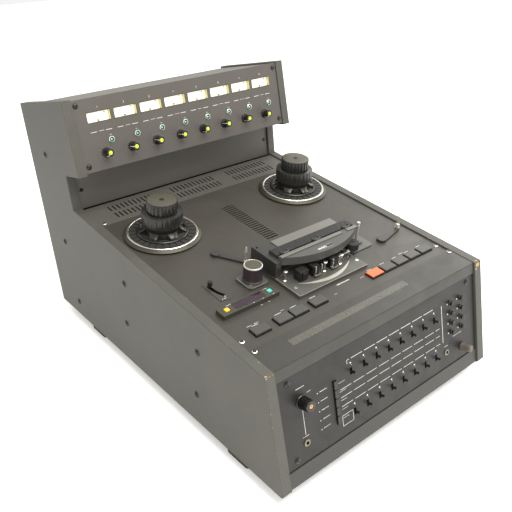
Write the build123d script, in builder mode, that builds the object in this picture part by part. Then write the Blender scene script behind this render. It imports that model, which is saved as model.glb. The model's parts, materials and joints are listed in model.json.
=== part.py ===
from build123d import *
import math
import os

os.makedirs("parts", exist_ok=True)

# ---- Driving dimensions, mm and degrees ----
RACK_W = 482.6            # standard 19 inch rack panel
RACK_GAP = 0.7            # rack panel to side panel, each side
PANEL_T = 18.0            # wooden side panel
FRONT_LEAN = 11.7         # front face leans back from vertical
FRONT_LEN = 207.6         # front edge of the side panel, along its slope
DECK_SLOPE = 6.1          # deck rises towards the back
DECK_LEN = 574.0          # deck, along its slope
RISER_LEN = 68.5          # step behind the deck, leaning back as the rear does
BACK_LEAN = 6.1
BRIDGE_LEAN = 11.7        # meter bridge face leans back
BRIDGE_OVERHANG = 58.7
BRIDGE_H = 138.7
BRIDGE_D = 206.8
FOOT_H = 24.0

SHEET = 2.0               # steel sheet
PLATE = 3.0               # aluminium panel plate
DECK_DROP = 3.0           # deck face below the side panel edges
FRONT_DROP = 5.0          # front panel face behind the side panel edges
BRIDGE_DROP = 2.5         # meter panel face behind the side panel edges
SCREW_R = 2.0
SCREW_HOLE_R = 2.3
SHAFT_FIT = 0.05          # radial running clearance
EDGE_GAP = 0.6            # gap beside a moving button or knob
OUTPUT_AT = (200.0, 55.0)
OUTPUT_KNOB_R = 8.2
OUTPUT_KNOB_LEN = 21.0
KNOB_TAPER = 2.8

INNER_W = RACK_W + 2 * RACK_GAP
OUTER_W = INNER_W + 2 * PANEL_T


# ---- Side profile and the planes that everything sits on ----
def step(point, length, lean_from_vertical):
    """Next profile corner, going up at a lean towards the back."""
    turn = math.radians(lean_from_vertical)
    return (point[0] + length * math.sin(turn), point[1] + length * math.cos(turn))


def knob_reach():
    """How far the output knob stands in front of the side panels' lower corner."""
    turn = math.radians(FRONT_LEAN)
    tip = OUTPUT_KNOB_LEN - FRONT_DROP
    edge = OUTPUT_AT[1] - OUTPUT_KNOB_R + KNOB_TAPER
    return tip * math.cos(turn) - edge * math.sin(turn)


def profile_corners():
    a = (0.0, FOOT_H)
    b = step(a, FRONT_LEN, FRONT_LEAN)
    c = step(b, DECK_LEN, 90 - DECK_SLOPE)
    d = step(c, RISER_LEN, BACK_LEAN)
    e = step(d, -BRIDGE_OVERHANG, 90 + BRIDGE_LEAN)
    f = step(e, BRIDGE_H, BRIDGE_LEAN)
    g = step(f, BRIDGE_D, 90 + BRIDGE_LEAN)
    h = step(g, -(g[1] - FOOT_H) / math.cos(math.radians(BACK_LEAN)), BACK_LEAN)
    middle = (g[0] - knob_reach()) / 2
    return [(y - middle, z) for y, z in (a, b, c, d, e, f, g, h)]


A, B, C, D, E, F, G, H = profile_corners()
BACK_LEN = math.dist(G, H)


def leaning_plane(corner, lean):
    """Plane facing forward and up from a profile corner: local x is +X, local y goes up the slope."""
    turn = math.radians(lean)
    return Plane((0, corner[0], corner[1]), x_dir=(1, 0, 0), z_dir=(0, -math.cos(turn), math.sin(turn)))


FRONT = leaning_plane(A, FRONT_LEAN)
DECK = leaning_plane(B, 90 - DECK_SLOPE)
RISER = leaning_plane(C, BACK_LEAN)
BRIDGE = leaning_plane(E, BRIDGE_LEAN)
TOP = leaning_plane(F, 90 + BRIDGE_LEAN)
UNDER = Plane((0, D[0], D[1]), x_dir=(1, 0, 0), z_dir=-TOP.z_dir)
back_turn = math.radians(BACK_LEAN)
BACK = Plane((0, H[0], H[1]), x_dir=(-1, 0, 0), z_dir=(0, math.cos(back_turn), -math.sin(back_turn)))


def on(base, x, y, z=0.0):
    """The same plane, moved to a point given in its own coordinates."""
    return Plane(base.from_local_coords((x, y, z)), x_dir=base.x_dir, z_dir=base.z_dir)


def spun(plane, angle):
    """The same plane, turned about its own normal."""
    turn = math.radians(angle)
    return Plane(plane.origin, x_dir=plane.x_dir * math.cos(turn) + plane.y_dir * math.sin(turn),
                 z_dir=plane.z_dir)


def side_view(base, y, z):
    """A point of a plane as (y, z) of the whole object, for profiles drawn from the side."""
    point = base.from_local_coords((0, y, z))
    return (point.Y, point.Z)


# ---- Shapes that repeat; each adds to the part being built ----
def disc(plane, radius, height, hole=0.0, mode=Mode.ADD):
    with BuildSketch(plane) as outline:
        Circle(radius)
        if hole:
            Circle(hole, mode=Mode.SUBTRACT)
    extrude(outline.sketch, amount=height, mode=mode)


def block(plane, width, depth, height, corner=0.0, mode=Mode.ADD):
    with BuildSketch(plane) as outline:
        if corner:
            RectangleRounded(width, depth, corner)
        else:
            Rectangle(width, depth)
    extrude(outline.sketch, amount=height, mode=mode)


def turned(plane, outline):
    """A closed (radius, height) outline turned about the plane's own axis."""
    with BuildSketch(Plane(plane.origin, x_dir=plane.x_dir, z_dir=-plane.y_dir)) as section:
        with BuildLine():
            Polyline(*outline, close=True)
        make_face()
    revolve(section.sketch, axis=Axis(plane.origin, plane.z_dir))


def side_holes(x, depth):
    """The holes for the side screws, drilled along +X from the given x."""
    for y, z in SIDE_SCREWS:
        disc(Plane((x, y, z), x_dir=(0, 1, 0), z_dir=(1, 0, 0)), SCREW_HOLE_R, depth, mode=Mode.SUBTRACT)


def screw(face, length, head_r=3.6, head_h=2.0):
    """Pan-head screw: head on the face, shank behind it."""
    turned(face, [(0, 0.7), (1.1, 0.7), (1.1, head_h), (head_r * 0.75, head_h), (head_r, head_h * 0.4),
                  (head_r, 0), (SCREW_R, 0), (SCREW_R, -length), (0, -length)])


def finish(builder, label):
    builder.part.label = label
    export_step(builder.part, f"parts/{label}.step")


# ---- Where things are: (x, up the plane) ----
REEL_SHAFT_R = 6.0
REEL_X = 163.8
REEL_V = 405.7
ROLLER_AT = (-124.0, 192.0)
CAPSTAN_AT = (118.0, 179.0)
LEFT_ARM_AT = (-124.6, 293.4)
RIGHT_ARM_AT = (163.0, 154.0)
EDIT_PIVOT_AT = (-132.0, 217.8)
DECK_FRONT_V = 58.6
DECK_BACK_V = 491.5
DECK_W = INNER_W - 2.0
CONTROL_SCREWS = [(-235.0, 81.0), (235.0, 81.0)]
LIP_SCREWS = [(-235.0, 51.5), (235.0, 51.5)]
VENT_SCREWS = [(-233.0, 499.0), (233.0, 499.0)]
RISER_SCREWS = [(-233.0, 33.5), (233.0, 33.5)]
FRONT_SCREWS = [(-219.5, 45.5), (219.5, 45.5), (-219.5, 176.9), (219.5, 176.9)]
BRIDGE_SCREWS = [(-234.0, 15.3), (234.0, 15.3), (-234.0, 126.0), (234.0, 126.0)]
SIDE_SCREWS_SET_IN = [(706.8, 352.2), (680.7, 170.2), (659.0, 34.0), (434.2, 179.1), (443.3, 88.2),
                      (207.8, 153.6), (218.3, 61.2)]
SIDE_SCREWS = [(A[0] + y, FOOT_H + z) for y, z in SIDE_SCREWS_SET_IN]
CHANNELS = 8
METER_PITCH = 55.4
METER_X = [METER_PITCH * (n - (CHANNELS - 1) / 2) for n in range(CHANNELS)]
METER_U = 101.0
METER_W = 48.5
METER_H = 20.6
LAMP_OFFSET = 16.0
LAMP_U = 55.5
LAMP_R = 6.2
KNOB_U = 34.0
KNOB_SHAFT_R = 3.0
TOGGLE_PITCH = 30.3
TOGGLE_FIRST_X = -89.8
TOGGLE_X = [TOGGLE_FIRST_X + TOGGLE_PITCH * n for n in range(CHANNELS)]
TOGGLE_ROWS_U = {"toggles_upper": 138.5, "toggles_lower": 65.0}
TOGGLE_SLOT = (5.0, 12.0)
SELECT_X = -128.0
SELECT_U = [61.0 + 8.0 + 15.6 * n for n in range(5)]
SELECT_W = 7.0
SELECT_H = 14.6
TRIM_X = (170.0, 199.0)
TRIM_U = [97.5 + 19.0 * n for n in range(4)]
JACKS = [(-197.0, 65.4), (152.3, 63.3)]
MONITOR_AT = (-197.0, 137.0)
BUTTON_W = 31.0
BUTTON_D = 19.5
BUTTON_V = 85.8
BUTTON_TRAVEL = 2.5
BUTTONS = {"edit_button": -195.0, "spool_button": -148.5, "cue_button": -115.5, "memory_button": -72.3,
           "record_button": 67.0, "rewind_button": 101.0, "forward_button": 135.0, "stop_button": 169.0,
           "play_button": 203.0}
COUNTER_AT = (-168.5, 147.0)
COUNTER_W = 115.0
COUNTER_D = 22.5
COUNTER_TOP = 5.0
COUNTER_BUTTON_X = (-212.5, -125.0)
COUNTER_BUTTON = 7.4

# ---- Side panels ----
CORNER_ROUND = 6.0
for label, x in (("side_panel_left", -OUTER_W / 2), ("side_panel_right", INNER_W / 2)):
    with BuildPart() as side_panel:
        with BuildSketch(Plane.YZ.offset(x)) as outline:
            with BuildLine():
                Polyline(A, B, C, D, E, F, G, H, close=True)
            make_face()
            fillet(outline.vertices().sort_by(Axis.X)[0], CORNER_ROUND)
        extrude(amount=PANEL_T)
        side_holes(x, PANEL_T)
        chamfer(side_panel.faces().group_by(Axis.X)[0].edges().filter_by(GeomType.LINE).filter_by(
            lambda edge: edge.length > 20), 0.8)
    finish(side_panel, label)

# ---- Chassis: floor, side walls and the folded-up front rail ----
RAIL_TOP = 32.0
RAIL_BOTTOM = 4.0
FLOOR_Z = FOOT_H + RAIL_BOTTOM
WALL_SET_IN = 14.0
with BuildPart() as chassis:
    wall_corners = [side_view(FRONT, RAIL_BOTTOM + 4, -WALL_SET_IN),
                    side_view(FRONT, FRONT_LEN - 14, -WALL_SET_IN),
                    side_view(DECK, DECK_LEN + 140, -WALL_SET_IN - 18),
                    side_view(BACK, RAIL_BOTTOM + 2, -WALL_SET_IN)]
    for x in (-INNER_W / 2, INNER_W / 2 - SHEET):
        with BuildSketch(Plane.YZ.offset(x)) as wall:
            with BuildLine():
                Polyline(*wall_corners, close=True)
            make_face()
        extrude(amount=SHEET)
    floor_front = side_view(FRONT, RAIL_BOTTOM, -FRONT_DROP)[0]
    floor_back = wall_corners[-1][0]
    with BuildSketch(Plane.XY.offset(FLOOR_Z)):
        with Locations((0, (floor_front + floor_back) / 2)):
            Rectangle(INNER_W, floor_back - floor_front)
    extrude(amount=SHEET)
    block(on(FRONT, 0, (RAIL_TOP + RAIL_BOTTOM) / 2, -FRONT_DROP - SHEET), RACK_W, RAIL_TOP - RAIL_BOTTOM,
          SHEET + 1)
    with BuildSketch(Plane.XY.offset(FLOOR_Z)):
        with GridLocations(14, 90, 22, 3):
            SlotOverall(70, 5, rotation=90)
    extrude(amount=SHEET, mode=Mode.SUBTRACT)
    side_holes(-OUTER_W / 2, OUTER_W)
finish(chassis, "chassis")

# ---- Feet ----
FOOT_LEN = 60.0
FOOT_WIDTH = 42.0
FOOT_SET_IN = 8.0
FOOT_FRONT_Y = 97.0
FOOT_REAR_Y = 576.0
FOOT_TAPER = 3.0
with BuildPart() as feet:
    foot_x = OUTER_W / 2 - FOOT_SET_IN - FOOT_WIDTH / 2
    for y in (FOOT_FRONT_Y + FOOT_LEN / 2, FOOT_REAR_Y + FOOT_LEN / 2):
        for x in (-foot_x, foot_x):
            with BuildSketch(Plane((x, A[0] + y, 0))):
                RectangleRounded(FOOT_WIDTH - 2 * FOOT_TAPER, FOOT_LEN - 2 * FOOT_TAPER, 5)
            with BuildSketch(Plane((x, A[0] + y, FOOT_H))):
                RectangleRounded(FOOT_WIDTH, FOOT_LEN, 7)
            loft()
            with BuildSketch(Plane((math.copysign(foot_x - 5, x), A[0] + y, FOOT_H))):
                Rectangle(FOOT_WIDTH - 14, FOOT_LEN - 10)
            extrude(amount=RAIL_BOTTOM)
finish(feet, "feet")

# ---- Rear panel with its connectors ----
REAR_DROP = 5.0
REAR_BOTTOM = 8.0
REAR_TOP = BACK_LEN - 12.0
SOCKET_ROWS = (300.0, 330.0)
SOCKET_PITCH = 24.0
SOCKET_R = 4.15
SOCKET_NUT_R = 6.5
SOCKET_LEN = 9.5
INLET_AT = (170.0, 60.0)
INLET_W = 27.4
INLET_H = 19.8
REMOTE_AT = (-150.0, 315.0)
REMOTE_R = 8.0
rear_face = on(BACK, 0, 0, -REAR_DROP)
SOCKETS = [(SOCKET_PITCH * (n - (CHANNELS - 1) / 2), row) for row in SOCKET_ROWS for n in range(CHANNELS)]
with BuildPart() as rear_panel:
    block(on(rear_face, 0, (REAR_BOTTOM + REAR_TOP) / 2, -SHEET), INNER_W - 1.0, REAR_TOP - REAR_BOTTOM,
          SHEET)
    for x, y in SOCKETS:
        disc(on(rear_face, x, y, -SHEET), SOCKET_R + 0.3, SHEET, mode=Mode.SUBTRACT)
    disc(on(rear_face, *REMOTE_AT, -SHEET), REMOTE_R + 0.2, SHEET, mode=Mode.SUBTRACT)
    block(on(rear_face, *INLET_AT, -SHEET), INLET_W + 0.6, INLET_H + 0.6, SHEET, mode=Mode.SUBTRACT)
    with BuildSketch(on(rear_face, 0, 170, -SHEET)) as slots:
        with GridLocations(13, 70, 26, 2):
            SlotOverall(50, 4.5, rotation=90)
    extrude(slots.sketch, amount=SHEET, mode=Mode.SUBTRACT)
finish(rear_panel, "rear_panel")

with BuildPart() as rear_connectors:
    for x, y in SOCKETS:
        turned(on(rear_face, x, y), [(1.6, -6), (SOCKET_R - 0.2, -6), (SOCKET_R - 0.2, 0), (SOCKET_NUT_R, 0),
                                     (SOCKET_NUT_R, 1.8), (SOCKET_R, 1.8), (SOCKET_R, SOCKET_LEN),
                                     (1.6, SOCKET_LEN)])
    turned(on(rear_face, *REMOTE_AT), [(0, -14), (REMOTE_R - 0.2, -14), (REMOTE_R - 0.2, 0),
                                       (REMOTE_R + 3, 0),
                                       (REMOTE_R + 3, 2), (REMOTE_R, 2), (REMOTE_R, 4), (0, 4)])
finish(rear_connectors, "rear_connectors")

INLET_WALL = 2.4
INLET_DEEP = 15.0
with BuildPart() as power_inlet:
    block(on(rear_face, *INLET_AT, -INLET_DEEP - 3), INLET_W, INLET_H, INLET_DEEP + 3, corner=2)
    block(on(rear_face, *INLET_AT), 48, 22.4, 2.2, corner=3)
    block(on(rear_face, *INLET_AT, -INLET_DEEP), INLET_W - 2 * INLET_WALL, INLET_H - 2 * INLET_WALL,
          INLET_DEEP + 3,
          corner=2, mode=Mode.SUBTRACT)
    for x, y in ((-7, -2), (0, 2), (7, -2)):
        block(on(rear_face, INLET_AT[0] + x, INLET_AT[1] + y, -INLET_DEEP), 2, 4, INLET_DEEP - 3)
    for x in (-20, 20):
        disc(on(rear_face, INLET_AT[0] + x, INLET_AT[1]), 1.7, 2.2, mode=Mode.SUBTRACT)
finish(power_inlet, "power_inlet")

# ---- Meter bridge: folded cover, panel, meters, lamps and level knobs ----
COVER_DROP = 4.0
COVER_GAP = 0.5           # between the cover's front edge and the back of the meter panel
COVER_FOLD = 2.0          # the cheeks and the underside stand this much further back
cover_front = BRIDGE_DROP + PLATE + COVER_GAP
cover_back = BRIDGE_D - 7.0
under_back = 6.0
under_front = BRIDGE_OVERHANG - cover_front - COVER_FOLD
cheek_front = -cover_front - COVER_FOLD
with BuildPart() as bridge_cover:
    block(on(TOP, 0, (cover_front + cover_back) / 2, -COVER_DROP - SHEET), INNER_W, cover_back - cover_front,
          SHEET)
    block(on(UNDER, 0, (under_back + under_front) / 2, -COVER_DROP - SHEET), INNER_W, under_front - under_back,
          SHEET)
    cheek = [side_view(BRIDGE, 6, cheek_front), side_view(BRIDGE, BRIDGE_H - 5, cheek_front),
             side_view(TOP, BRIDGE_D - 10, -5),
             side_view(BACK, BACK_LEN - 110, -12), side_view(UNDER, 2, -6)]
    for x in (-INNER_W / 2, INNER_W / 2 - SHEET):
        with BuildSketch(Plane.YZ.offset(x)):
            with BuildLine():
                Polyline(*cheek, close=True)
            make_face()
        extrude(amount=SHEET)
    side_holes(-OUTER_W / 2, OUTER_W)
finish(bridge_cover, "bridge_cover")

BRIDGE_PANEL_H = 132.5
bridge_back = -BRIDGE_DROP - PLATE
with BuildPart() as meter_panel:
    block(on(BRIDGE, 0, BRIDGE_H / 2 + 0.8, bridge_back), RACK_W, BRIDGE_PANEL_H, PLATE)
    for x in METER_X:
        block(on(BRIDGE, x, METER_U, bridge_back), METER_W, METER_H, PLATE, mode=Mode.SUBTRACT)
        disc(on(BRIDGE, x + LAMP_OFFSET, LAMP_U, bridge_back), LAMP_R - 1.0, PLATE, mode=Mode.SUBTRACT)
        disc(on(BRIDGE, x, KNOB_U, bridge_back), KNOB_SHAFT_R + SHAFT_FIT, PLATE, mode=Mode.SUBTRACT)
    for x, y in BRIDGE_SCREWS:
        disc(on(BRIDGE, x, y, bridge_back), SCREW_HOLE_R, PLATE, mode=Mode.SUBTRACT)
finish(meter_panel, "meter_panel")

METER_WALL = 1.2
METER_POCKET = 5.0
NEEDLE_LEN = 15.0
NEEDLE_T = 0.6
NEEDLE_LEFT = 52.0
with BuildPart() as meters:
    for x in METER_X:
        block(on(BRIDGE, x, METER_U, bridge_back - 34), METER_W + 3, METER_H + 14, 34)
        block(on(BRIDGE, x, METER_U, bridge_back), METER_W - 0.6, METER_H - 0.6, PLATE - 0.5)
        block(on(BRIDGE, x, METER_U, bridge_back + PLATE - 0.5 - METER_POCKET),
              METER_W - 0.6 - 2 * METER_WALL,
              METER_H - 0.6 - 2 * METER_WALL, METER_POCKET, mode=Mode.SUBTRACT)
    for x in METER_X:
        foot = on(BRIDGE, x, METER_U - METER_H / 2 + METER_WALL + 2.4,
                  bridge_back + PLATE - 0.5 - METER_POCKET)
        disc(foot, 1.4, 2.4)
        block(on(spun(foot, NEEDLE_LEFT), 0, NEEDLE_LEN / 2, 1.6), NEEDLE_T, NEEDLE_LEN, 0.5)
finish(meters, "meters")

with BuildPart() as record_lamps:
    for x in METER_X:
        turned(on(BRIDGE, x + LAMP_OFFSET, LAMP_U, -BRIDGE_DROP),
               [(0, -12), (LAMP_R - 1.2, -12), (LAMP_R - 1.2, 0), (LAMP_R, 0), (LAMP_R, 1.2),
                (LAMP_R - 0.8, 2.0),
                (2.6, 0.2), (2.2, 1.0), (0, 1.6)])
finish(record_lamps, "record_lamps")

KNOB_SKIRT_R = 9.0
KNOB_R = 7.4
KNOB_LEN = 17.5
for n, x in enumerate(METER_X):
    with BuildPart() as level_knob:
        turned(on(BRIDGE, x, KNOB_U, -BRIDGE_DROP),
               [(0, -12), (KNOB_SHAFT_R, -12), (KNOB_SHAFT_R, EDGE_GAP), (KNOB_SKIRT_R, EDGE_GAP),
                (KNOB_SKIRT_R, 2.6),
                (KNOB_R + 0.3, 4.5), (KNOB_R, KNOB_LEN - 0.8), (KNOB_R - 0.8, KNOB_LEN), (0, KNOB_LEN)])
        block(on(BRIDGE, x, KNOB_U + KNOB_R - 0.4, -BRIDGE_DROP + 4.5), 1.2, 1.4, KNOB_LEN - 5.5)
    finish(level_knob, f"level_knob_{n + 1}")

# ---- Riser and vent panel: one folded sheet behind the deck ----
RISER_DROP = 5.0
VENT_FRONT_V = DECK_BACK_V + 0.6
VENT_GROUPS_X = (-145.5, 0.0, 145.5)
VENT_ROWS_V = (517.0, 545.5)
VENT_SLOTS = 12
VENT_PITCH = 9.3
with BuildPart() as vent_panel:
    vent_back = DECK_LEN - RISER_DROP
    block(on(DECK, 0, (VENT_FRONT_V + vent_back) / 2, -DECK_DROP - SHEET), INNER_W - 1,
          vent_back - VENT_FRONT_V, SHEET)
    block(on(RISER, 0, RISER_LEN / 2 - 4, -RISER_DROP - SHEET), INNER_W - 1, RISER_LEN, SHEET)
    for group_x in VENT_GROUPS_X:
        for row_v in VENT_ROWS_V:
            with BuildSketch(on(DECK, group_x, row_v, -DECK_DROP - SHEET)) as slots:
                with GridLocations(VENT_PITCH, 1, VENT_SLOTS, 1):
                    SlotOverall(21, 3.4, rotation=90)
            extrude(slots.sketch, amount=SHEET, mode=Mode.SUBTRACT)
    for x, v in VENT_SCREWS:
        disc(on(DECK, x, v, -DECK_DROP - SHEET), SCREW_HOLE_R, SHEET, mode=Mode.SUBTRACT)
    for x, u in RISER_SCREWS:
        disc(on(RISER, x, u, -RISER_DROP - SHEET), SCREW_HOLE_R, SHEET, mode=Mode.SUBTRACT)
finish(vent_panel, "vent_panel")

# ---- Deck plate ----
LOUVRE_V = (279.0, 426.0)
LOUVRE_W = 29.0
LOUVRE_SLOTS = 21
ARM_SHAFT_R = 4.0
EDIT_R = 60.3
EDIT_REST = 179.0         # direction from the edit pivot to the lever knob at rest
EDIT_TURN = 25.0
EDIT_STEM_R = 2.4
EDIT_PIN_R = 3.0
EDIT_PIN_LEN = 1.8
CAPSTAN_R = 3.0
PINCH_PIVOT_AT = (86.0, 196.0)
PINCH_SHAFT_R = 3.0
deck_under = -DECK_DROP - PLATE
with BuildPart() as deck_plate:
    block(on(DECK, 0, (DECK_FRONT_V + DECK_BACK_V) / 2, deck_under), DECK_W, DECK_BACK_V - DECK_FRONT_V,
          PLATE)
    for x in (-REEL_X, REEL_X):
        disc(on(DECK, x, REEL_V, deck_under), REEL_SHAFT_R + 1.5, PLATE, mode=Mode.SUBTRACT)
    with BuildSketch(on(DECK, 0, sum(LOUVRE_V) / 2, deck_under)) as louvre:
        with GridLocations(1, (LOUVRE_V[1] - LOUVRE_V[0]) / LOUVRE_SLOTS, 1, LOUVRE_SLOTS):
            SlotOverall(LOUVRE_W, 3.4)
    extrude(louvre.sketch, amount=PLATE, mode=Mode.SUBTRACT)
    for x in BUTTONS.values():
        block(on(DECK, x, BUTTON_V, deck_under), BUTTON_W + 2 * EDGE_GAP, BUTTON_D + 2 * EDGE_GAP, PLATE,
              mode=Mode.SUBTRACT)
    for at in (LEFT_ARM_AT, RIGHT_ARM_AT):
        disc(on(DECK, *at, deck_under), ARM_SHAFT_R + SHAFT_FIT, PLATE, mode=Mode.SUBTRACT)
    disc(on(DECK, *CAPSTAN_AT, deck_under), CAPSTAN_R + 3, PLATE, mode=Mode.SUBTRACT)
    disc(on(DECK, *PINCH_PIVOT_AT, deck_under), PINCH_SHAFT_R + SHAFT_FIT, PLATE, mode=Mode.SUBTRACT)
    with BuildSketch(on(DECK, *EDIT_PIVOT_AT, deck_under)) as slot:
        with BuildLine() as slot_path:
            CenterArc((0, 0), EDIT_R, EDIT_REST - 3, EDIT_TURN + 6)
        SlotArc(slot_path.edge(), 2 * EDIT_STEM_R + 1.6)
    extrude(slot.sketch, amount=PLATE, mode=Mode.SUBTRACT)
    disc(on(DECK, *EDIT_PIVOT_AT, deck_under), EDIT_PIN_R + SHAFT_FIT, EDIT_PIN_LEN + 0.3, mode=Mode.SUBTRACT)
    for x in COUNTER_BUTTON_X:
        block(on(DECK, x, COUNTER_AT[1], deck_under), COUNTER_BUTTON + 2, COUNTER_BUTTON + 2, PLATE,
              mode=Mode.SUBTRACT)
    for x, v in CONTROL_SCREWS:
        disc(on(DECK, x, v, deck_under), SCREW_HOLE_R, PLATE, mode=Mode.SUBTRACT)
finish(deck_plate, "deck_plate")

# ---- Front lip: folded plate between the deck and the front panel ----
LIP_DROP = 1.0
LIP_FACE_DROP = 3.0
LIP_FACE_H = 20.0
with BuildPart() as front_lip:
    lip_back = DECK_FRONT_V - 0.6
    block(on(DECK, 0, (lip_back + LIP_FACE_DROP) / 2, -LIP_DROP - SHEET), DECK_W, lip_back - LIP_FACE_DROP,
          SHEET)
    block(on(FRONT, 0, FRONT_LEN - LIP_DROP - LIP_FACE_H / 2, -LIP_FACE_DROP - SHEET), DECK_W, LIP_FACE_H,
          SHEET)
    for x, v in LIP_SCREWS:
        disc(on(DECK, x, v, -LIP_DROP - SHEET), SCREW_HOLE_R, SHEET, mode=Mode.SUBTRACT)
    long_edges = front_lip.edges().filter_by(Axis.X).filter_by(lambda edge: edge.length > INNER_W / 2)
    fold = long_edges.sort_by(Axis.Y)
    fillet(fold.group_by(Axis.Y)[0].sort_by(Axis.Z)[-1], 1.5)
finish(front_lip, "front_lip")

# ---- Front panel ----
PANEL_BOTTOM = RAIL_TOP + 2.0
PANEL_TOP = FRONT_LEN - LIP_DROP - LIP_FACE_H - 1.0
KNOB2_SHAFT_R = 3.0
JACK_BORE_R = 3.2
JACK_R = 4.6
JACK_NUT_R = 6.0
TRIM_R = 4.2
front_back = -FRONT_DROP - PLATE
with BuildPart() as front_panel:
    block(on(FRONT, 0, (PANEL_BOTTOM + PANEL_TOP) / 2, front_back), RACK_W, PANEL_TOP - PANEL_BOTTOM, PLATE)
    for row_u in TOGGLE_ROWS_U.values():
        for x in TOGGLE_X:
            block(on(FRONT, x, row_u, front_back), *TOGGLE_SLOT, PLATE, mode=Mode.SUBTRACT)
    block(on(FRONT, SELECT_X, sum(SELECT_U) / 5, front_back), SELECT_W + 2 * EDGE_GAP,
          SELECT_U[-1] - SELECT_U[0] + SELECT_H + 2 * EDGE_GAP, PLATE, mode=Mode.SUBTRACT)
    for x in TRIM_X:
        for u in TRIM_U:
            disc(on(FRONT, x, u, front_back), TRIM_R - 1.6, PLATE, mode=Mode.SUBTRACT)
    for x, u in JACKS:
        disc(on(FRONT, x, u, front_back), JACK_R, PLATE, mode=Mode.SUBTRACT)
    for at in (MONITOR_AT, OUTPUT_AT):
        disc(on(FRONT, *at, front_back), KNOB2_SHAFT_R + SHAFT_FIT, PLATE, mode=Mode.SUBTRACT)
    for x, u in FRONT_SCREWS:
        disc(on(FRONT, x, u, front_back), SCREW_HOLE_R, PLATE, mode=Mode.SUBTRACT)
finish(front_panel, "front_panel")

JACK_LEN = 26.0
with BuildPart() as phone_jacks:
    for x, u in JACKS:
        turned(on(FRONT, x, u, -FRONT_DROP),
               [(JACK_BORE_R, 2.2), (JACK_R + 0.4, 2.2), (JACK_NUT_R, 1.4), (JACK_NUT_R, 0), (JACK_R, 0),
                (JACK_R, -PLATE), (8, -PLATE), (8, -JACK_LEN - 2), (0, -JACK_LEN - 2), (0, -JACK_LEN),
                (JACK_BORE_R, -JACK_LEN)])
finish(phone_jacks, "phone_jacks")

with BuildPart() as trim_knobs:
    for x in TRIM_X:
        for u in TRIM_U:
            turned(on(FRONT, x, u, -FRONT_DROP),
                   [(0, -10), (TRIM_R - 1.6, -10), (TRIM_R - 1.6, 0), (TRIM_R, 0), (TRIM_R - 0.4, 7), (0, 7)])
            block(on(FRONT, x, u, 7 - FRONT_DROP), 1.0, 2 * TRIM_R - 1.6, 0.4)
finish(trim_knobs, "trim_knobs")

with BuildPart() as select_buttons:
    for u in SELECT_U:
        block(on(FRONT, SELECT_X, u, front_back - 8), SELECT_W, SELECT_H, PLATE + 8 + 3.6)
    block(on(FRONT, SELECT_X, sum(SELECT_U) / 5, front_back - 12), SELECT_W + 5,
          SELECT_U[-1] - SELECT_U[0] + SELECT_H + 4, 4)
finish(select_buttons, "select_buttons")

TOGGLE_PIVOT_IN = 6.0
TOGGLE_OUT = 11.0
TOGGLE_R = 1.7
for label, row_u in TOGGLE_ROWS_U.items():
    with BuildPart() as toggles:
        for x in TOGGLE_X:
            pivot = on(FRONT, x, row_u, -FRONT_DROP - TOGGLE_PIVOT_IN)
            turned(pivot, [(0, -3), (2.2, -2), (2.2, 2), (TOGGLE_R - 0.3, 3.5),
                           (TOGGLE_R, TOGGLE_PIVOT_IN + 3),
                           (TOGGLE_R + 0.5, TOGGLE_PIVOT_IN + TOGGLE_OUT - 1),
                           (TOGGLE_R, TOGGLE_PIVOT_IN + TOGGLE_OUT),
                           (0, TOGGLE_PIVOT_IN + TOGGLE_OUT)])
    finish(toggles, label)

FRONT_KNOBS = {"monitor_knob": (MONITOR_AT, 10.5, 21.0),
               "output_knob": (OUTPUT_AT, OUTPUT_KNOB_R, OUTPUT_KNOB_LEN)}
for label, (at, radius, length) in FRONT_KNOBS.items():
    with BuildPart() as front_knob:
        turned(on(FRONT, *at, -FRONT_DROP),
               [(0, -12), (KNOB2_SHAFT_R, -12), (KNOB2_SHAFT_R, EDGE_GAP), (radius, EDGE_GAP), (radius, 2.5),
                (radius - 0.8, 3.2), (radius - 1.8, length - 1), (radius - KNOB_TAPER, length), (0, length)])
        with BuildSketch(on(FRONT, *at, 3.2 - FRONT_DROP)) as ribs:
            with PolarLocations(radius - 1.2, 18):
                Rectangle(1.8, 1.2)
        extrude(ribs.sketch, amount=length - 6)
    finish(front_knob, label)

# ---- Transport and counter buttons ----
BUTTON_TOP = 0.2
for label, x in BUTTONS.items():
    with BuildPart() as button:
        block(on(DECK, x, BUTTON_V, -13), BUTTON_W, BUTTON_D, 13 + BUTTON_TOP)
        chamfer(button.faces().sort_by(Axis.Z)[-1].edges(), 0.6)
    finish(button, label)

COUNTER_WINDOW_X = -168.7
COUNTER_WINDOW_W = 61.0
COUNTER_WINDOW_D = 17.0
with BuildPart() as counter_bezel:
    block(on(DECK, *COUNTER_AT, -DECK_DROP), COUNTER_W, COUNTER_D, DECK_DROP + COUNTER_TOP, corner=1.5)
    block(on(DECK, COUNTER_WINDOW_X, COUNTER_AT[1], COUNTER_TOP - 0.8), COUNTER_WINDOW_W, COUNTER_WINDOW_D,
          0.8,
          mode=Mode.SUBTRACT)
    for x in COUNTER_BUTTON_X:
        block(on(DECK, x, COUNTER_AT[1], -DECK_DROP), COUNTER_BUTTON + 2 * EDGE_GAP,
              COUNTER_BUTTON + 2 * EDGE_GAP,
              DECK_DROP + COUNTER_TOP, mode=Mode.SUBTRACT)
finish(counter_bezel, "counter_bezel")

with BuildPart() as counter_buttons:
    for x in COUNTER_BUTTON_X:
        block(on(DECK, x, COUNTER_AT[1], deck_under - 4), COUNTER_BUTTON, COUNTER_BUTTON,
              4 + COUNTER_TOP + 1.6 - deck_under)
    block(on(DECK, sum(COUNTER_BUTTON_X) / 2, COUNTER_AT[1], deck_under - 6),
          COUNTER_BUTTON_X[1] - COUNTER_BUTTON_X[0] + COUNTER_BUTTON, COUNTER_BUTTON, 2)
finish(counter_buttons, "counter_buttons")

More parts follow.
